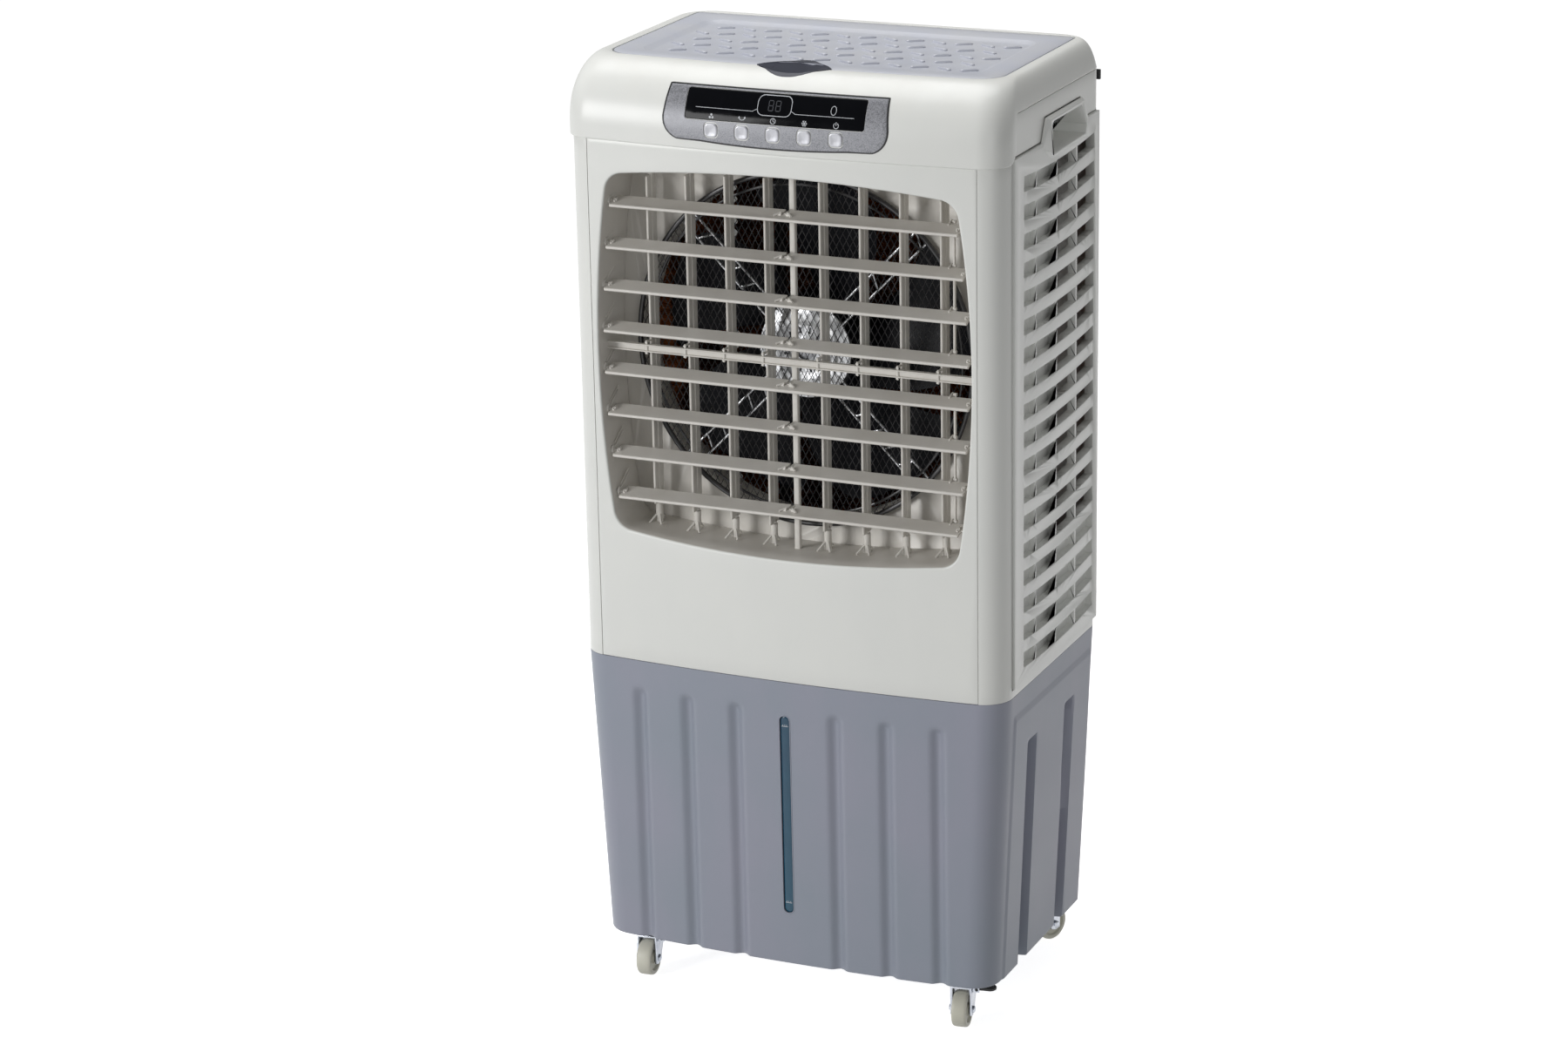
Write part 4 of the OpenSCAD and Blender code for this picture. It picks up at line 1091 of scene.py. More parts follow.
def front_panel():
    """Bowed front with its barrel-shaped mouth rolled into the duct, bearings, post and snap feet."""
    count = 288
    x1, z0, z1 = PANEL[1].x, PANEL[0].z, PANEL[1].z
    mouth = barrel(0.0, count)
    corners = [(x1, z1), (-x1, z1), (-x1, z0), (x1, z0)]
    edge = []
    for x, z in mouth:
        dx, dz = x, z - OUTLET_Z
        reach = min(x1 / abs(dx) if dx else 9e9, ((z1 - OUTLET_Z) if dz > 0 else (OUTLET_Z - z0)) / abs(dz))
        edge.append((dx * reach, OUTLET_Z + dz * reach))
    for corner in corners:
        nearest = min(range(count), key=lambda i: math.dist(edge[i], corner))
        edge[nearest] = corner

    def shrink(p, by):
        return (math.copysign(abs(p[0]) - by, p[0]), p[1] - math.copysign(by, p[1] - OUTLET_Z))

    def blend_ring(t, behind=0.0, by=0.0, lip=0.0):
        wide = barrel(lip, count)
        ring = []
        for i in range(count):
            ex, ez = shrink(edge[i], by)
            x, z = ex + (wide[i][0] - ex) * t, ez + (wide[i][1] - ez) * t
            ring.append(Vector((x, front_face(x) + behind, z)))
        return ring

    rings = [blend_ring(0, WALL), blend_ring(0, 0.9 * MM), blend_ring(0, 0.25 * MM, 0.25 * MM),
             blend_ring(0, 0.0, 0.9 * MM)]
    lip = -2.5 * MM
    rings += [blend_ring(t, 0.0, 0.9 * MM, lip) for t in (0.12, 0.3, 0.5, 0.7, 0.88, 1.0)]
    for a in range(15, 91, 15):
        s = math.radians(a)
        inset = lip * (1 - math.sin(s))
        rings.append([Vector((x, front_face(x) - lip * (1 - math.cos(s)), z)) for x,
                      z in barrel(inset, count)])
    back = PANEL[1].y
    for t in (0.1, 0.3, 0.55, 0.8, 1.0):
        ring = []
        for x, z in mouth:
            front = front_face(x) - lip
            ring.append(Vector((x, front + (back - front) * t, z)))
        rings.append(ring)
    outer = barrel(-2.5 * MM, count)
    rings.append([Vector((x, back, z)) for x, z in outer])
    rings.append([Vector((x, front_face(x) + WALL + 3 * MM, z)) for x, z in outer])
    rings.append([Vector((x, front_face(x) + WALL, z)) for x, z in barrel(-7 * MM, count)])
    body = loft("front_body", rings, wrap=True, sharp=45)

    extras = []
    post_y = -132 * MM
    outline = round_box(7 * MM, 7 * MM, 1.6 * MM, 0.0, post_y + 3 * MM, 4)
    extras.append(prism("post", outline, OUTLET_Z - OUTLET_B - OUTLET_DROP, OUTLET_Z + OUTLET_B + 1 * MM))
    for i in range(8):
        z = (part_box(f"louvre_{i + 1}")[0].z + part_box(f"louvre_{i + 1}")[1].z) / 2
        extras.append(block("post_finger", (-1.6 * MM, LOUVRE_Y + 1 * MM, z - 1.5 * MM),
                            (1.6 * MM, post_y + 1 * MM, z + 1.5 * MM)))
        half = barrel_half_w(z - OUTLET_Z)
        for s in (-1, 1):
            extras.append(turned("bearing", in_mm((5, 0), (5, 1.6), (4.4, 2.2), (2.6, 2.2)),
                                 (s * (half + 0.3 * MM), LOUVRE_Y, z), (-s, 0, 0), 24))
            start = Vector((s * (half - 0.4 * MM), LOUVRE_Y + 4 * MM, z + 2 * MM))
            for rise in (0.0, 5 * MM):
                extras.append(rod("snap_track", start + Vector((0, 0, rise)),
                                  start + Vector((0, 22 * MM, 13 * MM + rise)), 0.8 * MM, 6))
    for i in range(8):
        x, half = vane_x(i), vane_half(i)
        for s in (-1, 1):
            base = Vector((x, VANE_Y, OUTLET_Z + s * (half + 0.6 * MM)))
            away = Vector((0, 0, s * 12 * MM - (OUTLET_DROP if s < 0 else 0)))
            extras.append(rod("vane_bearing", base, base + away, 4.4 * MM, 20))
            for dx, dy in ((-8, -13), (8, -13), (0, 14)):
                foot = base + away * 0.96 + Vector((dx * MM, dy * MM, 0))
                extras.append(rod("snap_foot", base + away * 0.45, foot, 1.3 * MM, 8))
    body = join("front_body", body, *extras)
    shade(body, 45)
    piece(body, "cabinet", ["front_panel"], WHITE)
    # Faces set more than a few millimetres behind the front take the darker white: painted shade inside the
    # duct.
    body.data.materials.append(DUCT_SHADED_WHITE)
    for face in body.data.polygons:
        if face.center.y > front_face(face.center.x) + DUCT_SHADE_START:
            face.material_index = 1


# ---- hood, lid and pull ---------------------------------------------------------------


HOOD_PROUD = 3 * MM
HOOD_WALL = 4.5 * MM
SHOULDER_SIDE = HALF_W - LID_HALF - 8 * MM
SHOULDER_FRONT = 60 * MM
SHOULDER_BACK = 14 * MM
SHOULDER_STEPS = 48
LEDGE_DEEP = 15.4 * MM
LEDGE_THICK = 2.6 * MM
BOARD_FRONT = -158 * MM


def shoulder(z, inset=0.0):
    """How far the hood has drawn in towards the lid at a height, 0 to 1."""
    s = min(max((z - (TOP_Z - HOOD_DROP)) / (HOOD_DROP - inset), 0.0), 1.0)
    return 1 - math.sqrt(1 - s * s)


def hood_plan(k, inset=0.0):
    reach = inset - HOOD_PROUD
    return plan(reach, half_w=HALF_W - k * SHOULDER_SIDE, front=FRONT_Y - k * SHOULDER_FRONT,
                back=BACK_Y - k * SHOULDER_BACK, radius=CORNER_R + reach, rear_radius=CORNER_R + reach)


OUTER_PLANS = [hood_plan(i / SHOULDER_STEPS) for i in range(SHOULDER_STEPS + 1)]
INNER_PLANS = [hood_plan(i / SHOULDER_STEPS, HOOD_WALL) for i in range(SHOULDER_STEPS + 1)]


def hood_point(plans, j, z, k, inset=0.0):
    at = k * SHOULDER_STEPS
    i = min(int(at), SHOULDER_STEPS - 1)
    t = at - i
    a, b = plans[i][j], plans[i + 1][j]
    nx, ny = a[2], a[3]
    return Vector((a[0] + (b[0] - a[0]) * t - nx * inset, a[1] + (b[1] - a[1]) * t - ny * inset, z))


def hood_face(x, z, proud=0.0):
    """Front of the hood at (x, z)."""
    return -(FRONT_Y + HOOD_PROUD - shoulder(z) * SHOULDER_FRONT) + bow(x) - proud


def hood_height(y):
    """Height of the hood's rounded shoulder over its middle line at y."""
    k = min(max((y + FRONT_Y + HOOD_PROUD) / SHOULDER_FRONT, 0.0), 1.0)
    return TOP_Z - HOOD_DROP + HOOD_DROP * math.sqrt(1 - (1 - k) ** 2)


def lid_ring(z, grow=0.0, back=LID[1].y, rear_radius=8 * MM):
    return ring_at(z, -grow, half_w=LID_HALF, front=120 * MM, back=back, radius=30 * MM,
                   rear_radius=rear_radius)


def lens(grow=0.0, steps=24):
    """Lens-shaped outline of the finger pull, (x, y)."""
    half, centre = 46 * MM, -119 * MM
    pts = []
    for i in range(2 * steps):
        u = -1 + 2 * (i % steps) / steps
        u = u if i < steps else -u
        reach = 27 * MM if i < steps else -19 * MM
        pts.append(((half + grow) * u, centre + (reach + math.copysign(grow, reach)) * (1 - u * u) ** 0.75))
    return pts


def top_hood():
    """Rounded hood as one closed wall: skirt along the hood line, shoulder, rim and the lid's well."""
    count = len(OUTER_PLANS[0])
    low = [hood_edge(OUTER_PLANS[0][j][1]) for j in range(count)]
    shoulder_z = TOP_Z - HOOD_DROP

    levels = 30
    skirt = 8
    heights = [HOOD_Z + (shoulder_z - HOOD_Z) * i / skirt for i in range(1, skirt)]
    curve = levels - skirt
    heights += [shoulder_z + HOOD_DROP * math.sin(math.radians(90 * i / curve)) for i in range(curve + 1)]
    rings = []
    inner_top = LEDGE_DEEP + LEDGE_THICK
    for i in range(10, -1, -1):
        ring = []
        for j in range(count):
            base = low[j] + 0.4 * MM
            z = base + (TOP_Z - inner_top - base) * i / 10
            ring.append(hood_point(INNER_PLANS, j, z, shoulder(z, HOOD_WALL)))
        rings.append(ring)
    for inset, lift in ((1.2, 0.0), (0.35, 0.3), (0.0, 1.1)):
        rings.append([hood_point(OUTER_PLANS, j, low[j] + lift * MM, shoulder(low[j]),
                                 inset * MM) for j in range(count)])
    for height in heights:
        ring = []
        for j in range(count):
            z = max(height, low[j] + 1.1 * MM)
            ring.append(hood_point(OUTER_PLANS, j, z, shoulder(z)))
        rings.append(ring)
    back = LID[1].y + 3 * MM
    rings.append(lid_ring(TOP_Z, 2.0 * MM, back))
    rings.append(lid_ring(TOP_Z - 0.3 * MM, 1.3 * MM, back))
    rings.append(lid_ring(TOP_Z - 1.2 * MM, 1.0 * MM, back))
    rings.append(lid_ring(TOP_Z - LEDGE_DEEP, 0.7 * MM, back))
    rings.append(lid_ring(TOP_Z - LEDGE_DEEP, -7 * MM, back + 7 * MM))
    rings.append(lid_ring(TOP_Z - inner_top, -7 * MM, back + 7 * MM))
    body = fix_normals(loft("hood_body", rings, wrap=True, sharp=42), 2e-5)
    notch = prism("pull_notch", lens(0.8 * MM), TOP_Z - 20 * MM, TOP_Z + 30 * MM)
    cut(body, notch, solver="MANIFOLD")
    shade(body, 42)
    piece(body, "cabinet", ["top_hood"], WHITE)


def top_lid():
    """Lid with a raised border, a sunken tread of short slanting bars and its hinge pins."""
    low = LID[0].z
    field = dict(half_w=205 * MM, front=88 * MM, back=104 * MM, radius=16 * MM, rear_radius=16 * MM)
    rings = [lid_ring(TOP_Z - 6.5 * MM, -14 * MM), lid_ring(low, -14 * MM), lid_ring(low, -1.2 * MM),
             lid_ring(low + 0.8 * MM, -0.5 * MM)]
    rings += [lid_ring(TOP_Z - 5 * MM, -0.5 * MM), lid_ring(TOP_Z - 1.6 * MM, -0.5 * MM),
              lid_ring(TOP_Z - 0.5 * MM, -0.95 * MM),
              lid_ring(TOP_Z, -2.0 * MM), lid_ring(TOP_Z, -12 * MM)]
    rings += [ring_at(TOP_Z, -6 * MM, **field), ring_at(TOP_Z - 0.6 * MM, -3.6 * MM, **field),
              ring_at(TOP_Z - 3.2 * MM, 2 * MM, **field), ring_at(TOP_Z - 3.6 * MM, 5 * MM, **field)]
    body = loft("lid_body", rings, True, True, sharp=45)
    cut(body, prism("pull_notch", lens(0.0), TOP_Z - 30 * MM, TOP_Z + 30 * MM))
    hinge_y, hinge_z = LID[1].y - 7 * MM, TOP_Z - 7 * MM
    pins = [rod("hinge_pin", (s * (LID_HALF - 2 * MM), hinge_y, hinge_z),
                (s * LID[1].x, hinge_y, hinge_z), 3 * MM, 24)
            for s in (-1, 1)]
    body = join("lid_body", body, *pins)
    bar = loft("tread_bar", [[Vector((x * k, y * k, z)) for x, y in round_box(22 * MM, 6 * MM, 2.9 * MM, n=3)]
                             for k, z in ((1.0, -0.4 * MM), (0.96, 1.4 * MM), (0.78, 2.3 * MM))], True, True)
    places = []
    for row in range(-2, 3):
        for col in range(-6, 7):
            x = col * 30 * MM + (7.5 * MM if row % 2 == 0 else -7.5 * MM)
            y = 8 * MM + row * 34 * MM
            places.append(((x, y, TOP_Z - 3.6 * MM),
                           (0, 0, math.radians(30 if (row + col) % 2 == 0 else -30))))
    tread = set_out("tread", bar, places, MIST)
    body = join("lid_body", body, tread)
    piece(body, "lid", ["top_lid"], MIST)


def finger_pull():
    """Dished navy pull that bridges the front edge of the lid and the hood."""
    def ring(grow, drop):
        pts = []
        for x, y in lens(grow):
            pts.append(Vector((x, y, hood_height(min(y, -118 * MM)) + 0.6 * MM - drop)))
        return pts
    floor = [Vector((x, y, TOP_Z - 12 * MM)) for x, y in lens(-0.4 * MM)]
    rings = [floor, ring(-0.3 * MM, 1.4 * MM), ring(-0.5 * MM, 0.5 * MM), ring(-1.4 * MM, 0.0),
             ring(-2.6 * MM, 0.1 * MM)]
    for k in range(1, 7):
        rings.append(ring(-2.6 * MM - k * 2.2 * MM, 0.1 * MM + 1.2 * MM * smooth(k / 6)))
    body = loft("pull_body", rings, True, True, sharp=50)
    piece(body, "lid", ["finger_pull"], NAVY)


# ---- control panel --------------------------------------------------------------------


def panel_outline(grow=0.0):
    """Outline of the control panel, (x, z)."""
    pts = [(132 * MM + grow, 1111 * MM + grow), (-132 * MM - grow, 1111 * MM + grow),
           (-136 * MM - grow, 1078 * MM)]
    pts += arc(-(112 * MM + grow), 1076 * MM, 24 * MM, 180, 255, 8)
    pts += [(x * MM, (1049.5 + 4 * (x / 100) ** 2) * MM - grow) for x in range(-90, 91, 15)]
    pts += arc(112 * MM + grow, 1076 * MM, 24 * MM, 285, 360, 8)
    pts.append((136 * MM + grow, 1078 * MM))
    return pts


def on_panel(outline, proud):
    return [Vector((x, hood_face(x, z, proud), z)) for x, z in outline]


def decal(name, outline, proud=0.9 * MM, thick=0.25 * MM):
    """A thin flat mark that lies on the panel."""
    return loft(name, [on_panel(outline, proud - thick), on_panel(outline, proud)], True, True)


def stroke(points, width, closed=False):
    """Outlines of the straight pieces of a drawn line, (x, z)."""
    pieces = []
    count = len(points) if closed else len(points) - 1
    for i in range(count):
        start, end = Vector(points[i]), Vector(points[(i + 1) % len(points)])
        along = (end - start).normalized() * width * 0.45
        side = Vector((-along.y, along.x)).normalized() * width / 2
        parts = max(int((end - start).length / (8 * MM)), 1)
        for k in range(parts):
            a, b = start.lerp(end, k / parts) - along, start.lerp(end, (k + 1) / parts) + along
            pieces.append([tuple(a - side), tuple(b - side), tuple(b + side), tuple(a + side)])
    return pieces


def control_panel():
    """Silver bezel, smoked window and dark outline, all following the hood's shoulder."""
    count = 240
    proud = 0.8 * MM

    def ring(grow, out):
        return on_panel(resample(panel_outline(grow), count), out)

    window = (WINDOW[0].x, WINDOW[0].z, WINDOW[1].x, WINDOW[1].z)
    w, h = window[2] - window[0], window[3] - window[1]
    cx, cz = (window[0] + window[2]) / 2, (window[1] + window[3]) / 2
    hole = round_box(w + 1.0 * MM, h + 1.0 * MM, 3 * MM, cx, cz, 6)
    start = max(range(len(hole)), key=lambda i: hole[i][0] + hole[i][1])
    hole = resample(hole[start:] + hole[:start], count)
    outer = resample(panel_outline(-1.2 * MM), count)
    rings = [ring(0.0, -2 * MM), ring(0.0, 0.2 * MM), ring(-0.4 * MM, 0.65 * MM), ring(-1.2 * MM, proud)]
    for t in (0.2, 0.4, 0.6, 0.8, 1.0):
        mixed = [(a[0] + (b[0] - a[0]) * t, a[1] + (b[1] - a[1]) * t) for a, b in zip(outer, hole)]
        rings.append(on_panel(mixed, proud))
    rings.append(on_panel(hole, -2 * MM))
    body = loft("bezel", rings, wrap=True, sharp=50)
    sockets = []
    for i in range(1, 6):
        low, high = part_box(f"button_{i}")
        size = high.x - low.x + 2.2 * MM
        sockets.append(prism("button_socket",
                             round_box(size, size, 5.6 * MM, (low.x + high.x) / 2, (low.z + high.z) / 2, 6),
                             low.y - 9 * MM, high.y + 9 * MM, "Y"))
    cut(body, *sockets)
    shade(body, 40)
    board = polish("board_box", "control_panel", 0.3 * MM)
    bm = bmesh.new()
    bm.from_mesh(board.data)
    drop = [v for v in bm.verts if v.co.y < BOARD_FRONT]
    bmesh.ops.delete(bm, geom=drop, context="VERTS")
    bmesh.ops.holes_fill(bm, edges=bm.edges, sides=0)
    bm.to_mesh(board.data)
    bm.free()
    body = join("bezel", body, board)
    piece(body, "cabinet", ["control_panel"], SILVER)

    rim = [tuple(v) for v in ring(0.5 * MM, -0.05 * MM)]
    outline = tube("panel_gasket", rim, 1.1 * MM, 6, True)
    # Black blocks behind the key sockets: painted shade, so the gaps round the keys read dark.
    socket_painted_shade = []
    for i in range(1, 6):
        low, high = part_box(f"button_{i}")
        x, z, half = (low.x + high.x) / 2, (low.z + high.z) / 2, (high.x - low.x) / 2 + 2 * MM
        socket_painted_shade.append(block("socket_floor", (x - half, low.y + 5.4 * MM, z - half),
                             (x + half, low.y + 6.4 * MM, z + half)))
    piece(join("panel_gasket", outline, *socket_painted_shade), "cabinet", [], BLACK)

    pane_levels = [(0.0, -1.6), (0.0, 0.2), (0.3, 0.5), (0.9, 0.6)]
    rings = [on_panel(resample(round_box(w - 2 * i * MM, h - 2 * i * MM, 2.6 * MM, cx, cz, 6), count), p * MM)
             for i, p in pane_levels]
    rings += [on_panel(resample(round_box(w * k, h * k, 2.6 * MM * k, cx, cz, 6), count), 0.6 * MM)
              for k in (0.9, 0.75, 0.6, 0.45, 0.3, 0.15, 0.05)]
    pane = loft("display_pane", rings, True, True, sharp=50)
    piece(pane, "cabinet", ["display_window"], GLOSS)


def panel_marks():
    """Generic printed marks: guide lines, display frame, five symbols and an unlit two-digit display."""
    lines = []
    frame_z = 1096.5 * MM
    lines += stroke(round_box(41 * MM, 21 * MM, 7 * MM, 0, frame_z, 5), 0.7 * MM, True)
    for s in (-1, 1):
        bracket = in_mm((s * 21, 1092), (s * 26, 1089.5), (s * 96, 1089.5))
        lines += stroke(bracket, 0.5 * MM)
    oval = [(71 * MM + x, 1096 * MM + z) for x, z in ellipse(3.2 * MM, 4.6 * MM, 16)]
    lines += stroke(oval, 0.6 * MM, True)
    top = 1080.5 * MM
    xs = [(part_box(f"button_{i}")[0].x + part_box(f"button_{i}")[1].x) / 2 for i in range(1, 6)]
    for a in (90, 210, 330):
        lobe = [(xs[0] + 1.9 * MM * math.cos(math.radians(a)) + x,
                 top + 1.9 * MM * math.sin(math.radians(a)) + z)
                for x, z in ellipse(1.3 * MM, 1.3 * MM, 10)]
        lines.append(lobe)
    swing = arc(xs[1], top + 2.6 * MM, 4 * MM, 205, 335, 8)
    lines += stroke(swing, 0.7 * MM)
    for end, lean in ((swing[0], 1), (swing[-1], -1)):
        lines.append([(end[0] - 1.3 * MM, end[1] - 0.3 * MM), (end[0] + 1.3 * MM, end[1] - 0.3 * MM),
                      (end[0] + lean * 0.2 * MM, end[1] + 1.9 * MM)])
    lines += stroke([(xs[2] + x, top + z) for x, z in ellipse(3 * MM, 3 * MM, 16)], 0.7 * MM, True)
    lines += stroke([(xs[2], top + 2 * MM), (xs[2], top), (xs[2] + 1.5 * MM, top - 0.8 * MM)], 0.6 * MM)
    for a in (0, 60, 120):
        c, s = 3 * MM * math.cos(math.radians(a)), 3 * MM * math.sin(math.radians(a))
        lines += stroke([(xs[3] - c, top - s), (xs[3] + c, top + s)], 0.6 * MM)
        for e in (-1, 1):
            tip = Vector((xs[3] + e * c * 0.62, top + e * s * 0.62))
            for turn in (45, -45):
                b = math.radians(a + turn)
                barb = (tip.x + e * 1.2 * MM * math.cos(b), tip.y + e * 1.2 * MM * math.sin(b))
                lines += stroke([tuple(tip), barb], 0.45 * MM)
    lines += stroke(arc(xs[4], top, 2.9 * MM, 125, 415, 14), 0.7 * MM)
    lines += stroke([(xs[4], top + 0.4 * MM), (xs[4], top + 3.6 * MM)], 0.7 * MM)
    marks = [decal("mark", line, 0.8 * MM) for line in lines]
    piece(join("panel_marks", *marks), "cabinet", [], PRINT)

    digits = []
    for x0 in (-7.2 * MM, 1.6 * MM):
        w, h = 5.4 * MM, 5.2 * MM
        ends = {"a": ((0, 2), (1, 2)), "g": ((0, 1), (1, 1)), "d": ((0, 0), (1, 0)), "f": ((0, 2), (0, 1)),
                "b": ((1, 2), (1, 1)), "e": ((0, 1), (0, 0)), "c": ((1, 1), (1, 0))}
        for (ax, az), (bx, bz) in ends.values():
            a = Vector((x0 + ax * w, frame_z - h + az * h))
            b = Vector((x0 + bx * w, frame_z - h + bz * h))
            gap = (b - a).normalized() * 0.75 * MM
            digits += stroke([tuple(a + gap), tuple(b - gap)], 0.9 * MM)
    unlit = join("display_digits", *[decal("digit", d, 0.72 * MM) for d in digits])
    piece(unlit, "cabinet", [], DIM)


def ellipse(a, b, n):
    return [(a * math.cos(2 * math.pi * i / n), b * math.sin(2 * math.pi * i / n)) for i in range(n)]


def buttons():
    """Five rounded-square keys with dished faces."""
    for i in range(1, 6):
        low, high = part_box(f"button_{i}")
        size = high.x - low.x
        x, z = (low.x + high.x) / 2, (low.z + high.z) / 2
        levels = [(0.0, high.y), (0.0, low.y + 1.2 * MM), (0.3 * MM, low.y + 0.4 * MM), (1.1 * MM, low.y),
                  (2.0 * MM, low.y + 0.05 * MM), (4.0 * MM, low.y + 0.35 * MM), (6.4 * MM, low.y + 0.5 * MM)]
        rings = []
        for t, y in levels:
            outline = round_box(size - 2 * t, size - 2 * t, max(5 * MM - t * 0.6, 0.6 * MM), x, z, 6)
            rings.append([Vector((px, y, pz)) for px, pz in outline])
        body = loft(f"key_{i}", rings, True, True, sharp=60)
        piece(body, f"button_{i}", [f"button_{i}"], BUTTON)


# ---- grilles and pads -------------------------------------------------------------------


STATIONS = ((-107 * MM, -69 * MM), (-64 * MM, -3 * MM), (3 * MM, 64 * MM), (69 * MM, 124 * MM))


def sag(y):
    return SLOT_SAG * (y / (120 * MM)) ** 2


def slot_outline(y0, y1, z, high, steps=5):
    ys = [y0 + (y1 - y0) * i / steps for i in range(steps + 1)]
    return [(y, z + sag(y) - high / 2) for y in ys] + [(y, z + sag(y) + high / 2) for y in reversed(ys)]


def side_grille(name, side):
    """Sagging slats with set-back ribs, blind front columns and the framed hand hold."""
    face = GRILLE[1].x
    inner = face - 11 * MM
    outline = grille_outline(-0.8 * MM)
    body = prism(f"{name}_body", outline, inner, face, "X")
    cup_outline = in_mm((-33, 1024), (-33, 1073), (80, 1073), (93, 1055), (93, 1024))
    cup = prism("cup", cup_outline, 232 * MM, face - 3 * MM, "X")
    frame_outline = in_mm((-52, 1042), (-36, 1074), (82, 1074), (96, 1050), (90, 1027), (-24, 1025),
                          (-42, 1040))
    hump = loft("pocket_frame", [[Vector((x, y, z)) for y, z in pts] for x, pts in (
        (face - 2 * MM, frame_outline), (face, frame_outline),
        (face + 3.2 * MM, in_mm((-31, 1036), (-31, 1071), (80, 1071), (93, 1049), (88, 1029), (-20, 1028),
                                (-30, 1034))))], True, True)
    cut(body, cup, hump, operation="UNION")
    grooves, slots = [], []
    for r in range(ROWS):
        z = FIRST_ROW_Z - r * ROW_PITCH
        grooves.append(prism("groove", slot_outline(STATIONS[0][0], STATIONS[3][1], z, SLOT_H, 18),
                             face - 0.9 * MM, face + 9 * MM, "X"))
        for s, (y0, y1) in enumerate(STATIONS):
            blind = s < 2 or r >= ROWS - BLIND_ROWS
            slots.append(prism("slot", slot_outline(y0, y1, z, SLOT_H - 0.02 * MM),
                               face - 8.5 * MM if blind else 200 * MM, face + 10 * MM, "X"))
    recess = in_mm((-23, 1030), (-25, 1064), (-20, 1067.5), (70, 1067.5), (75, 1064), (88, 1042), (84, 1032))
    cut(body, join("grooves", *grooves), join("slots", *slots),
        prism("recess", recess, 236 * MM, face + 12 * MM, "X"))
    bevel(body, 0.45 * MM, 2, 30, 35)
    if side < 0:
        mirror(body)
    piece(body, "cabinet", [name], WHITE)


def mirror(obj):
    """Mirrors a mesh across the middle plane and turns its faces back out."""
    obj.data.transform(Matrix.Scale(-1, 4, (1, 0, 0)))
    obj.data.flip_normals()
    shade(obj, 35)


def rear_grille():
    body = polish("rear_slats", "rear_grille", 0.6 * MM)
    piece(body, "cabinet", ["rear_grille"], WHITE)


def cooling_pads():
    """Fluted paper pads behind both side grilles and the rear grille."""
    low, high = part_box("cooling_pads")
    thickness, pitch = 30 * MM, 7 * MM
    tall = high.z - low.z
    made = []
    for name, wide, turn, centre in (
            ("pad_right", 160 * MM, "X", (high.x - thickness / 2, -45 * MM, 0)),
            ("pad_left", 160 * MM, "X", (low.x + thickness / 2, -45 * MM, 0)),
            ("pad_rear", 380 * MM, "Y", (-190 * MM, high.y - 14 * MM, 0))):
        mesh = bpy.data.meshes.new(name)
        obj = link(bpy.data.objects.new(name, mesh))
        sheets = int(wide / pitch)
        grow(obj, FLUTED_PAD, Thickness=thickness - 1 * MM, Height=tall, Sheets=sheets,
             Pitch=wide / sheets, Material=PAPER)
        # sheets are made lying in X and Y and stacked up Z: stand them up
        middle = Vector((centre[0], centre[1], (low.z + high.z) / 2))
        rows = [Vector((1, 0, 0)), Vector((0, 0, 1)), Vector((0, 1, 0))]
        if turn == "Y":
            rows = [Vector((0, 1, 0)), Vector((0, 0, 1)), Vector((1, 0, 0))]
        stand = Matrix((rows[0], rows[1], rows[2])).transposed().to_4x4()
        obj.data.transform(Matrix.Translation(middle + rows[2] * wide / sheets / 2) @ stand)
        made.append(obj)
    for obj in made[1:]:
        piece(obj, "cabinet", [], PAPER)
    piece(made[0], "cabinet", ["cooling_pads"], PAPER)


# ---- louvres and vanes ------------------------------------------------------------------


LOUVRE_Y = -153 * MM
LOUVRE_PITCH = 49.9 * MM
LOUVRE_DROP = 4.5 * MM
LOUVRE_TILT = math.radians(15)
CHORD = 26 * MM
VANE_Y = -121 * MM
VANE_CHORD = 24 * MM
PIN_R = 2 * MM
LINK_X = 199 * MM
LINK_ARM = CHORD / 2 + 5.5 * MM
BAR_ARM = 22 * MM
BAR_Z = OUTLET_Z - 3.5 * MM


def vane_x(i):
    low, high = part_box(f"vane_{i + 1}")
    return (low.x + high.x) / 2


def vane_half(i):
    return barrel_half_h(vane_x(i)) - 12 * MM


def blade_section(chord, bead, thin):
    """Section of a moulded blade: a bead along the front edge, thinning to the back, (along, up)."""
    half = chord / 2
    pts = [(half - 0.3 * MM, thin / 2), (0.0, thin * 0.62), (-half + 2.2 * bead, thin * 0.75)]
    pts += [(-half + bead + bead * math.cos(a), bead * math.sin(a))
            for a in (math.radians(60 + 240 * i / 10) for i in range(11))]
    pts += [(-half + 2.2 * bead, -thin * 0.75), (0.0, -thin * 0.62),
            (half - 0.3 * MM, -thin / 2), (half, 0.0)]
    return pts


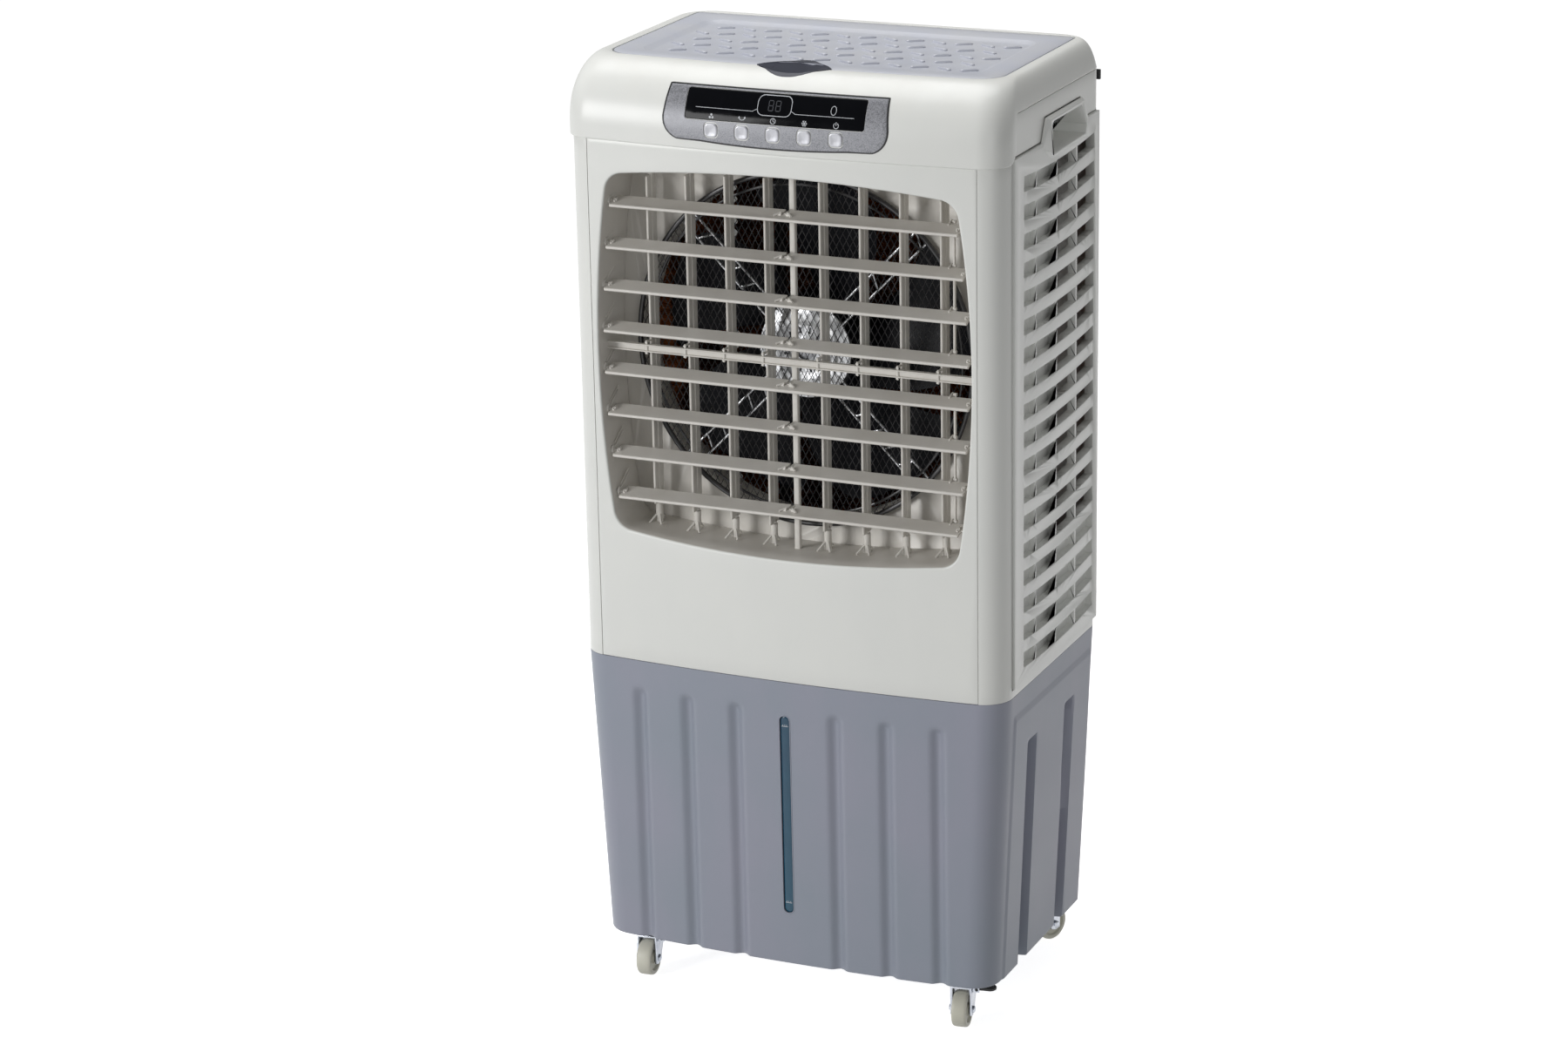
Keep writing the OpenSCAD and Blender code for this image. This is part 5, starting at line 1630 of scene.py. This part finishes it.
def louvre(i):
    """One level louvre with its pins, end clips, centre notch and link lug."""
    z = louvre_z(i)
    half = barrel_half_w(z - OUTLET_Z) - 5 * MM
    section = blade_section(CHORD, 2.0 * MM, 1.9 * MM)
    turn = Matrix.Rotation(LOUVRE_TILT, 3, "X")

    def place(x, along, up):
        return Vector((x, LOUVRE_Y, z)) + turn @ Vector((0, along, up))

    def ring(x, cutoff=None, squeeze=1.0):
        pts = []
        for along, up in section:
            along = along if cutoff is None else min(along, cutoff)
            pts.append(place(x, along * squeeze, up * squeeze))
        return pts

    notch = 3.2 * MM
    rings = [ring(-half, None, 0.93), ring(-half + 0.6 * MM), ring(-half + 6 * MM)]
    rings += [ring(-half * 0.6), ring(-half * 0.3), ring(-notch - 0.01 * MM), ring(-notch, -1.5 * MM),
              ring(notch, -1.5 * MM), ring(notch + 0.01 * MM), ring(half * 0.3), ring(half * 0.6)]
    rings += [ring(half - 6 * MM), ring(half - 0.6 * MM), ring(half, None, 0.93)]
    parts = [loft("blade", rings, True, True, sharp=30)]
    for s in (-1, 1):
        parts.append(rod("pin", place(s * (half - 6 * MM), 0, 0),
                         place(s * (half + 4.5 * MM), 0, 0), PIN_R, 20))
        parts.append(rod("clip", place(s * (half - 5.5 * MM), 0, 0.4 * MM),
                         place(s * (half - 1.5 * MM), 0, 0.4 * MM), 3.4 * MM, 20))
        parts.append(rod("clip_wing", place(s * (half - 3.5 * MM), -4.6 * MM, 2.2 * MM),
                         place(s * (half - 3.5 * MM), 4.6 * MM, 2.2 * MM), 1.1 * MM, 10))
        parts.append(rod("notch_lug", place(s * notch, 0, 1.0 * MM),
                         place(s * (notch + 4.2 * MM), 0, 1.0 * MM), 3.0 * MM, 16))
        parts.append(rod("notch_wing", place(s * (notch + 0.6 * MM), 1 * MM, 3.2 * MM),
                         place(s * (notch + 7.5 * MM), -5.4 * MM, 2.4 * MM), 1.4 * MM, 8))
    parts.append(rod("notch_pin", place(-notch - 1 * MM, 0, 0), place(notch + 1 * MM, 0, 0), 1.2 * MM, 12))
    lug = [place(LINK_X - 5 * MM, CHORD / 2 - 3 * MM, 0), place(LINK_X - 5 * MM, LINK_ARM + 1.6 * MM, 0)]
    middle = Vector((1 * MM, 0, 0))
    parts.append(strap("lug", lug[0] + middle, lug[1] + middle, 2 * MM, 4.4 * MM))
    parts.append(rod("link_pin", place(LINK_X - 4 * MM, LINK_ARM, 0),
                     place(LINK_X + 2 * MM, LINK_ARM, 0), 1.2 * MM, 14))
    body = join(f"louvre_blade_{i + 1}", *parts)
    shade(body, 40)
    piece(body, f"louvre_{i + 1}", [f"louvre_{i + 1}"], DUCT_SHADED_WHITE)


def louvre_z(i):
    """Pivot height of a louvre."""
    first = OUTLET_Z + 3.5 * LOUVRE_PITCH - LOUVRE_DROP
    return first - i * LOUVRE_PITCH


def strap(name, start, end, thick, wide):
    """A flat bar between two points that share an x, with rounded edges and half-round ends."""
    start, end = Vector(start), Vector(end)
    along = (end - start).normalized()
    up = Vector((1, 0, 0)).cross(along)
    pts = []
    for centre, a0 in ((end, -90), (start, 90)):
        for k in range(9):
            a = math.radians(a0 + 180 * k / 8)
            pts.append(centre + along * math.cos(a) * wide / 2 + up * math.sin(a) * wide / 2)
    rings = []
    for out, off in ((0.86, -0.5), (1.0, -0.32), (1.0, 0.32), (0.86, 0.5)):
        ring = []
        for k, p in enumerate(pts):
            centre = end if k < 9 else start
            ring.append(centre + (p - centre) * out + Vector((off * thick, 0, 0)))
        rings.append(ring)
    return loft(name, rings, True, True)


def link_rod(name, node_name, body_name, first, last):
    """Flat rod that ties four louvres together, with an eye at each pin."""
    low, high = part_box(node_name)
    y = LOUVRE_Y + LINK_ARM * math.cos(LOUVRE_TILT)
    rise = LINK_ARM * math.sin(LOUVRE_TILT)
    top, base = louvre_z(first) + rise, louvre_z(last) + rise
    x = (low.x + high.x) / 2
    parts = [strap("rod_bar", (x, y, base), (x, y, top), 2.2 * MM, 4.2 * MM)]
    for i in range(first, last + 1):
        z = louvre_z(i) + rise
        parts.append(rod("eye", (x - 1.9 * MM, y, z), (x + 1.9 * MM, y, z), 2.5 * MM, 16))
    piece(join(name, *parts), body_name, [node_name], DUCT_SHADED_WHITE)


def vane(i):
    """One upright vane with its pins and its fork on the tie bar."""
    x, half = vane_x(i), vane_half(i)
    section = blade_section(VANE_CHORD, 1.6 * MM, 1.9 * MM)

    def ring(z, squeeze=1.0):
        return [Vector((x + up * squeeze, VANE_Y + along * squeeze, z)) for along, up in section]

    low, high = OUTLET_Z - half, OUTLET_Z + half
    rings = [ring(low, 0.9), ring(low + 0.8 * MM), ring(low + half), ring(high - 0.8 * MM), ring(high, 0.9)]
    parts = [loft("blade", rings, True, True, sharp=30)]
    parts.append(rod("pin", (x, VANE_Y, low - 8.5 * MM), (x, VANE_Y, high + 8.5 * MM), PIN_R, 18))
    for z in (low - 0.3 * MM, high - 2.7 * MM):
        parts.append(rod("collar", (x, VANE_Y, z), (x, VANE_Y, z + 3 * MM), 3.4 * MM, 18))
    for z in (BAR_Z - 7 * MM, BAR_Z + 5.6 * MM):
        parts.append(block("fork", (x - 1.4 * MM, VANE_Y - BAR_ARM - 2.4 * MM, z),
                           (x + 1.4 * MM, VANE_Y - VANE_CHORD / 2 + 3 * MM, z + 1.8 * MM)))
    parts.append(rod("fork_pin", (x, VANE_Y - BAR_ARM, BAR_Z - 8 * MM),
                     (x, VANE_Y - BAR_ARM, BAR_Z + 8.4 * MM), 1.4 * MM, 14))
    body = join(f"vane_blade_{i + 1}", *parts)
    shade(body, 40)
    piece(body, f"vane_{i + 1}", [f"vane_{i + 1}"], DUCT_SHADED_WHITE)


def tie_bar():
    """Channel-section bar that swings all the vanes together."""
    low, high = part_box("vane_tie_bar")
    y0, y1, z0, z1 = low.y, high.y, low.z, high.z
    lip, deep = 1.5 * MM, 3.2 * MM
    r = 0.4 * MM
    section = [(y0 + r, z0), (y1 - r, z0), (y1, z0 + r), (y1, z1 - r), (y1 - r, z1), (y0 + r, z1),
               (y0, z1 - r), (y0, z1 - lip + r), (y0 + r, z1 - lip), (y0 + deep, z1 - lip),
               (y0 + deep, z0 + lip), (y0 + r, z0 + lip), (y0, z0 + lip - r), (y0, z0 + r)]
    rings = [[Vector((x, y, z)) for y, z in section] for x in (low.x, -0.1, 0.0, 0.1, high.x)]
    parts = [loft("channel", rings, True, True, sharp=30)]
    for i in range(8):
        x = vane_x(i)
        parts.append(rod("boss", (x, y0 + 3 * MM, z0 + 0.4 * MM),
                         (x, y0 + 3 * MM, z1 - 0.4 * MM), 1.7 * MM, 16))
    body = join("tie_channel", *parts)
    piece(body, "tie_bar", ["vane_tie_bar"], DUCT_SHADED_WHITE)


# ---- fan ----------------------------------------------------------------------------------


GUARD_Y = SHROUD_Y - 6 * MM
MESH_PITCH = 7.4 * MM


def circle_path(r, y, n=96):
    return [(r * math.cos(2 * math.pi * k / n), y,
             OUTLET_Z + r * math.sin(2 * math.pi * k / n)) for k in range(n)]


def fan_guard():
    """Wire ring with a fine diamond mesh stretched over it."""
    r = FAN_RING_R + 3 * MM
    rings = wires("guard_ring", [(circle_path(r, GUARD_Y), True)], 3 * MM, GUARD, 12)
    inner = wires("guard_inner", [(circle_path(r - 13 * MM, GUARD_Y + 0.6 * MM), True)], 1.5 * MM, GUARD, 8)
    paths = []
    for s in (-1, 1):
        a = math.radians(90 + s * 28)
        along = Vector((math.cos(a), 0, math.sin(a)))
        across = Vector((-math.sin(a), 0, math.cos(a)))
        count = int(r / MESH_PITCH)
        for k in range(-count, count + 1):
            off = k * MESH_PITCH
            half = math.sqrt(max(r * r - off * off, 0.0))
            if half < 4 * MM:
                continue
            centre = Vector((0, GUARD_Y + 0.35 * MM * s, OUTLET_Z)) + across * off
            paths.append(([centre - along * half, centre + along * half], False))
    mesh = wires("guard_mesh", paths, 0.45 * MM, GUARD, 4)
    piece(join("guard_wires", rings, inner, mesh), "cabinet", ["fan_guard"], GUARD)


def motor_bracket():
    """Pressed disc on four ladders of bright wire."""
    y = SHROUD_Y - 1.6 * MM
    disc = turned("disc", in_mm((57, 0), (57, 1.4), (56.4, 1.9), (50, 2.0), (47, 3.4), (40, 3.8), (34, 3.2),
                                (30, 1.6), (17, 1.4), (14.5, 2.6), (12, 2.6), (12, 0)),
                  (0, y + 1.2 * MM, OUTLET_Z), (0, -1, 0), 72, True)
    slots = []
    for k in range(12):
        a = 2 * math.pi * (k + 0.5) / 12
        c = Vector((math.cos(a), 0, math.sin(a)))
        t = Vector((-math.sin(a), 0, math.cos(a)))
        ring = []
        for u, v in round_box(9 * MM, 3.4 * MM, 1.6 * MM, n=3):
            ring.append(Vector((0, y, OUTLET_Z)) + c * (23.5 * MM + u * 0.9) + t * v)
        slots.append(loft("vent", [[p + Vector((0, -9 * MM, 0)) for p in ring],
                                   [p + Vector((0, 9 * MM, 0)) for p in ring]],
                          True, True))
    cut(disc, join("vents", *slots))
    paths = []
    rungs = []
    for a in (45, 135, 225, 315):
        c = Vector((math.cos(math.radians(a)), 0, math.sin(math.radians(a))))
        t = Vector((-c.z, 0, c.x))
        centre = Vector((0, y, OUTLET_Z))
        for s in (-1, 1):
            paths.append(([centre + c * (44 * MM) + t * s * 9 * MM,
                           centre + c * (FAN_RING_R + 1 * MM) + t * s * 9 * MM], False))
        for d in range(70, 200, 25):
            rungs.append(([centre + c * d * MM - t * 9 * MM, centre + c * (d + 9) * MM + t * 9 * MM], False))
    ladder = wires("ladder", paths, 1.7 * MM, WIRE, 10)
    steps = wires("rungs", rungs, 1.2 * MM, WIRE, 8)
    heads = []
    for a in (45, 135, 225, 315):
        c = (40 * MM * math.cos(math.radians(a)), y - 1.6 * MM,
             OUTLET_Z + 40 * MM * math.sin(math.radians(a)))
        dome = in_mm((3.6, 0), (3.6, 1.2), (2.8, 2.2), (1, 2.5))
        heads.append(turned("screw", dome, c, (0, -1, 0), 20))
    body = join("bracket_wires", disc, ladder, steps, *heads)
    piece(body, "cabinet", ["motor_bracket"], WIRE)


def fan_motor():
    body = turned("motor_can", in_mm((20, 0), (44, 0.4), (48, 2), (50, 6), (50, 20), (48.6, 21), (48.6, 25),
                                     (50, 26), (50, 46), (47, 51), (31, 52), (29, 57), (5, 57), (5, 69)),
                  (0, SHROUD_Y + 1 * MM, OUTLET_Z), (0, 1, 0), 64)
    piece(body, "cabinet", ["fan_motor"], ALUMINIUM)


def fan_rotor():
    """Hub cup with five swept, cambered blades."""
    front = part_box("fan_rotor")[0].y
    cup = in_mm((52.5, 0.6), (56, 0), (59, 1.2), (60, 4), (60, 48), (57, 53), (50, 54), (5, 54),
                (5, 49), (52.5, 49))
    hub = turned("hub", cup, (0, front, OUTLET_Z), (0, 1, 0), 72, True)
    parts = [hub]
    tip, root = 192 * MM, 57 * MM
    radial, across = 16, 14
    for b in range(5):
        faces_front, faces_back = [], []
        for i in range(radial + 1):
            f = i / radial
            r = root + (tip - root) * f
            sweep = math.radians(22) * f ** 1.4 + 2 * math.pi * b / 5
            half = math.radians(31 - 5 * f) if f < 0.9 else math.radians(26.5 - 55 * (f - 0.9) ** 1.5 * 3)
            pitch = 22 * MM * (1.05 - 0.35 * f)
            row_f, row_b = [], []
            for j in range(across + 1):
                u = -1 + 2 * j / across
                a = sweep + half * u
                lift = pitch * u + 3.5 * MM * (1 - u * u)
                thick = 1.3 * MM * math.sqrt(max(1 - u * u, 0.0)) + 0.35 * MM
                centre_y = front + 27 * MM + lift
                row_f.append(Vector((r * math.cos(a), centre_y - thick, OUTLET_Z + r * math.sin(a))))
                row_b.append(Vector((r * math.cos(a), centre_y + thick, OUTLET_Z + r * math.sin(a))))
            faces_front.append(row_f)
            faces_back.append(row_b)
        rings = [f_row + b_row[::-1] for f_row, b_row in zip(faces_front, faces_back)]
        parts.append(loft("blade", rings, True, True, sharp=50))
    body = join("rotor_blades", *parts)
    shade(body, 45)
    piece(body, "fan", ["fan_rotor"], SMOKE)


# ---- casters -------------------------------------------------------------------------------


CASTERS = ((-204, -124, 185), (204, -124, 188), (-204, 124, 20), (204, 124, -25))
WHEEL_R = 22 * MM
WHEEL_W = 18 * MM
TRAIL = 17 * MM


def caster_place(i):
    x, y, turn = CASTERS[i]
    return Matrix.Translation((x * MM, y * MM, 0)) @ Matrix.Rotation(math.radians(turn), 4, "Z")


def caster(i):
    """Wheel with a crowned tread and a stepped hub, fork with rolled cheeks, brake tongue on the front pair.
    """
    place = caster_place(i)
    half = WHEEL_W / 2
    profile = [(3.05 * MM, half - 0.4 * MM), (6 * MM, half), (7.4 * MM, half - 0.5 * MM),
               (8 * MM, half - 2.8 * MM),
               (15.5 * MM, half - 3.0 * MM), (16.4 * MM, half - 0.6 * MM), (17.4 * MM, half),
               (20.6 * MM, half - 0.3 * MM),
               (21.6 * MM, half - 1.6 * MM), (22 * MM, half - 4 * MM)]
    profile += [(r, -h) for r, h in reversed(profile)]
    wheel = turned("wheel", profile, (0, TRAIL, WHEEL_R), (1, 0, 0), 64, True, 35)
    wheel.data.transform(place)
    wheel.name = f"wheel_tread_{i + 1}"
    piece(wheel, f"wheel_{i + 1}", [f"caster_wheel_{i + 1}"], NYLON)
    fork = polish(f"fork_{i + 1}", f"caster_fork_{i + 1}", 0.5 * MM)
    nuts = []
    for s in (-1, 1):
        nut = turned("axle_nut", in_mm((4.2, 0), (4.2, 1.8), (3.4, 2.6), (1.6, 2.9)),
                     (s * (half + 3.9 * MM), TRAIL, WHEEL_R), (s, 0, 0), 6 if s > 0 else 20)
        nut.data.transform(place)
        nuts.append(nut)
    race = turned("race", in_mm((11, 0), (15.2, 0.2), (15.8, 1.6), (14, 3.2), (11, 3.4)),
                  (0, 0, TANK_Z - 8.6 * MM), (0, 0, 1), 40, True)
    race.data.transform(place)
    body = join(f"fork_{i + 1}", fork, *nuts, race)
    piece(body, f"caster_{i + 1}", [f"caster_fork_{i + 1}"], ZINC)
    if i < 2:
        brake_pedal(i)


def brake_pedal(i):
    """Black tongue on a side pin, with a rounded toe and grip ribs."""
    px, pz = -WHEEL_W / 2 - 8 * MM, TANK_Z - 12 * MM
    centre_y = 6.65 * MM
    outline = [(px + 2.6 * MM, centre_y - 7.2 * MM), (px + 2.6 * MM, centre_y + 7.2 * MM),
               (px - 13 * MM, centre_y + 7.4 * MM)]
    outline += arc(px - 14.6 * MM, centre_y, 7.5 * MM, 90, 270, 10)
    outline.append((px - 13 * MM, centre_y - 7.4 * MM))
    inset = [((x - (px - 8 * MM)) * 0.93 + (px - 8 * MM), (y - centre_y) * 0.9 + centre_y)
             for x, y in outline]
    levels = [(inset, pz - 1.9 * MM), (outline, pz - 1.1 * MM), (outline, pz + 1.2 * MM),
              (inset, pz + 2.1 * MM)]
    parts = [loft("tongue", [[Vector((x, y, z)) for x, y in ring] for ring, z in levels], True, True)]
    for k in range(4):
        x = px - 18.5 * MM + k * 3.4 * MM
        parts.append(rod("rib", (x, centre_y - 5 * MM, pz + 2.0 * MM),
                         (x, centre_y + 5 * MM, pz + 2.0 * MM), 0.7 * MM, 8))
    parts.append(rod("barrel", (px, -0.7 * MM, pz), (px, 14.7 * MM, pz), 2.9 * MM, 20))
    parts.append(rod("pin", (px, -3.4 * MM, pz), (px, 17.4 * MM, pz), 1.5 * MM, 16))
    body = join(f"pedal_{i + 1}", *parts)
    body.data.transform(caster_place(i))
    body.name = f"brake_tongue_{i + 1}"
    piece(body, f"pedal_{i + 1}", [f"brake_pedal_{i + 1}"], BLACK)


# ---- parts that keep their form and gain rounded edges ---------------------------------------


def polished_parts():
    for name, node_name, slot, material, width in (
            ("tray", "drip_tray", "white_plastic", WHITE, 0.6 * MM),
            ("pump", "water_pump", "pump_black", BLACK, 0.8 * MM),
            ("fan_wall", "fan_shroud", "white_plastic", DUCT_SHADED_WHITE, 0.8 * MM),
            ("swing_gearbox", "swing_motor", "pump_black", BLACK, 1.0 * MM),
            ("drain_cap", "drain_plug", "trim_black", BLACK, 0.8 * MM),
            ("rear_hooks", "cable_hooks", "trim_black", BLACK, 1.0 * MM),
            ("gland", "cord_gland", "trim_black", BLACK, 0.6 * MM),
            ("caster_bases", "caster_plates", "zinc", ZINC, 0.4 * MM),
            ("screw_heads", "housing_screws", "zinc", ZINC, 0.3 * MM)):
        piece(polish(name, node_name, width), "cabinet", [node_name], material)


# ---- studio ------------------------------------------------------------------------------------


AZIMUTH = math.radians(24.05)
ELEVATION = math.radians(17.89)
ROLL = math.radians(-1.02)
DISTANCE = 4.944
TARGET = Vector((-0.0754, 0.0, 0.5488))
LENS = 94.95


def camera():
    """Long lens, a little above the hood and to the right of the front."""
    data = bpy.data.cameras.new("camera")
    data.lens = LENS
    data.sensor_width = 36
    data.clip_end = 60
    obj = link(bpy.data.objects.new("camera", data))
    back = Vector((math.sin(AZIMUTH) * math.cos(ELEVATION), -math.cos(AZIMUTH) * math.cos(ELEVATION),
                   math.sin(ELEVATION)))
    right = (-back).cross(Vector((0, 0, 1))).normalized()
    up = right.cross(-back)
    c, s = math.cos(ROLL), math.sin(ROLL)
    x, y = c * right + s * up, c * up - s * right
    turn = Matrix((x, y, back)).transposed().to_4x4()
    obj.matrix_world = Matrix.Translation(TARGET + back * DISTANCE) @ turn
    bpy.context.scene.camera = obj


def softbox(name, place, aim, size, power, tall=None):
    data = bpy.data.lights.new(name, "AREA")
    data.shape = "RECTANGLE"
    data.size, data.size_y = size, tall or size
    data.energy = power
    obj = link(bpy.data.objects.new(name, data))
    obj.location = place
    obj.rotation_euler = (Vector(aim) - Vector(place)).to_track_quat("-Z", "Y").to_euler()


def studio():
    """Pale floor, soft key from the front left, fill from the right and an overhead."""
    size = 12.0
    corners = [(-size, -size, 0), (size, -size, 0), (size, size, 0), (-size, size, 0)]
    floor = mesh_object("floor", corners, [(0, 1, 2, 3)])
    floor.data.materials.append(studio_floor())
    floor.visible_diffuse = False
    softbox("key", (-2.3, -3.3, 1.5), (0, 0, 0.55), 1.5, 88)
    softbox("fill", (3.2, -3.0, 1.4), (0, 0, 0.6), 1.8, 15)
    softbox("overhead", (-0.6, 0.4, 3.4), (0, 0, 0.6), 2.2, 54)
    world = bpy.data.worlds.new("studio")
    world.use_nodes = True
    background = world.node_tree.nodes["Background"]
    background.inputs["Color"].default_value = (1.0, 1.0, 1.0, 1.0)
    background.inputs["Strength"].default_value = 0.26
    bpy.context.scene.world = world
    bpy.context.scene.view_settings.view_transform = "Standard"


def assemble():
    camera()
    studio()
    water_tank()
    gauge_window()
    main_housing()
    front_panel()
    top_hood()
    top_lid()
    finger_pull()
    control_panel()
    panel_marks()
    buttons()
    side_grille("side_grille_right", 1)
    side_grille("side_grille_left", -1)
    rear_grille()
    cooling_pads()
    for i in range(8):
        louvre(i)
        vane(i)
    link_rod("link_upper", "louvre_link_upper", "upper_link", 0, 3)
    link_rod("link_lower", "louvre_link_lower", "lower_link", 4, 7)
    tie_bar()
    fan_guard()
    motor_bracket()
    fan_motor()
    fan_rotor()
    for i in range(4):
        caster(i)
    polished_parts()


assemble()
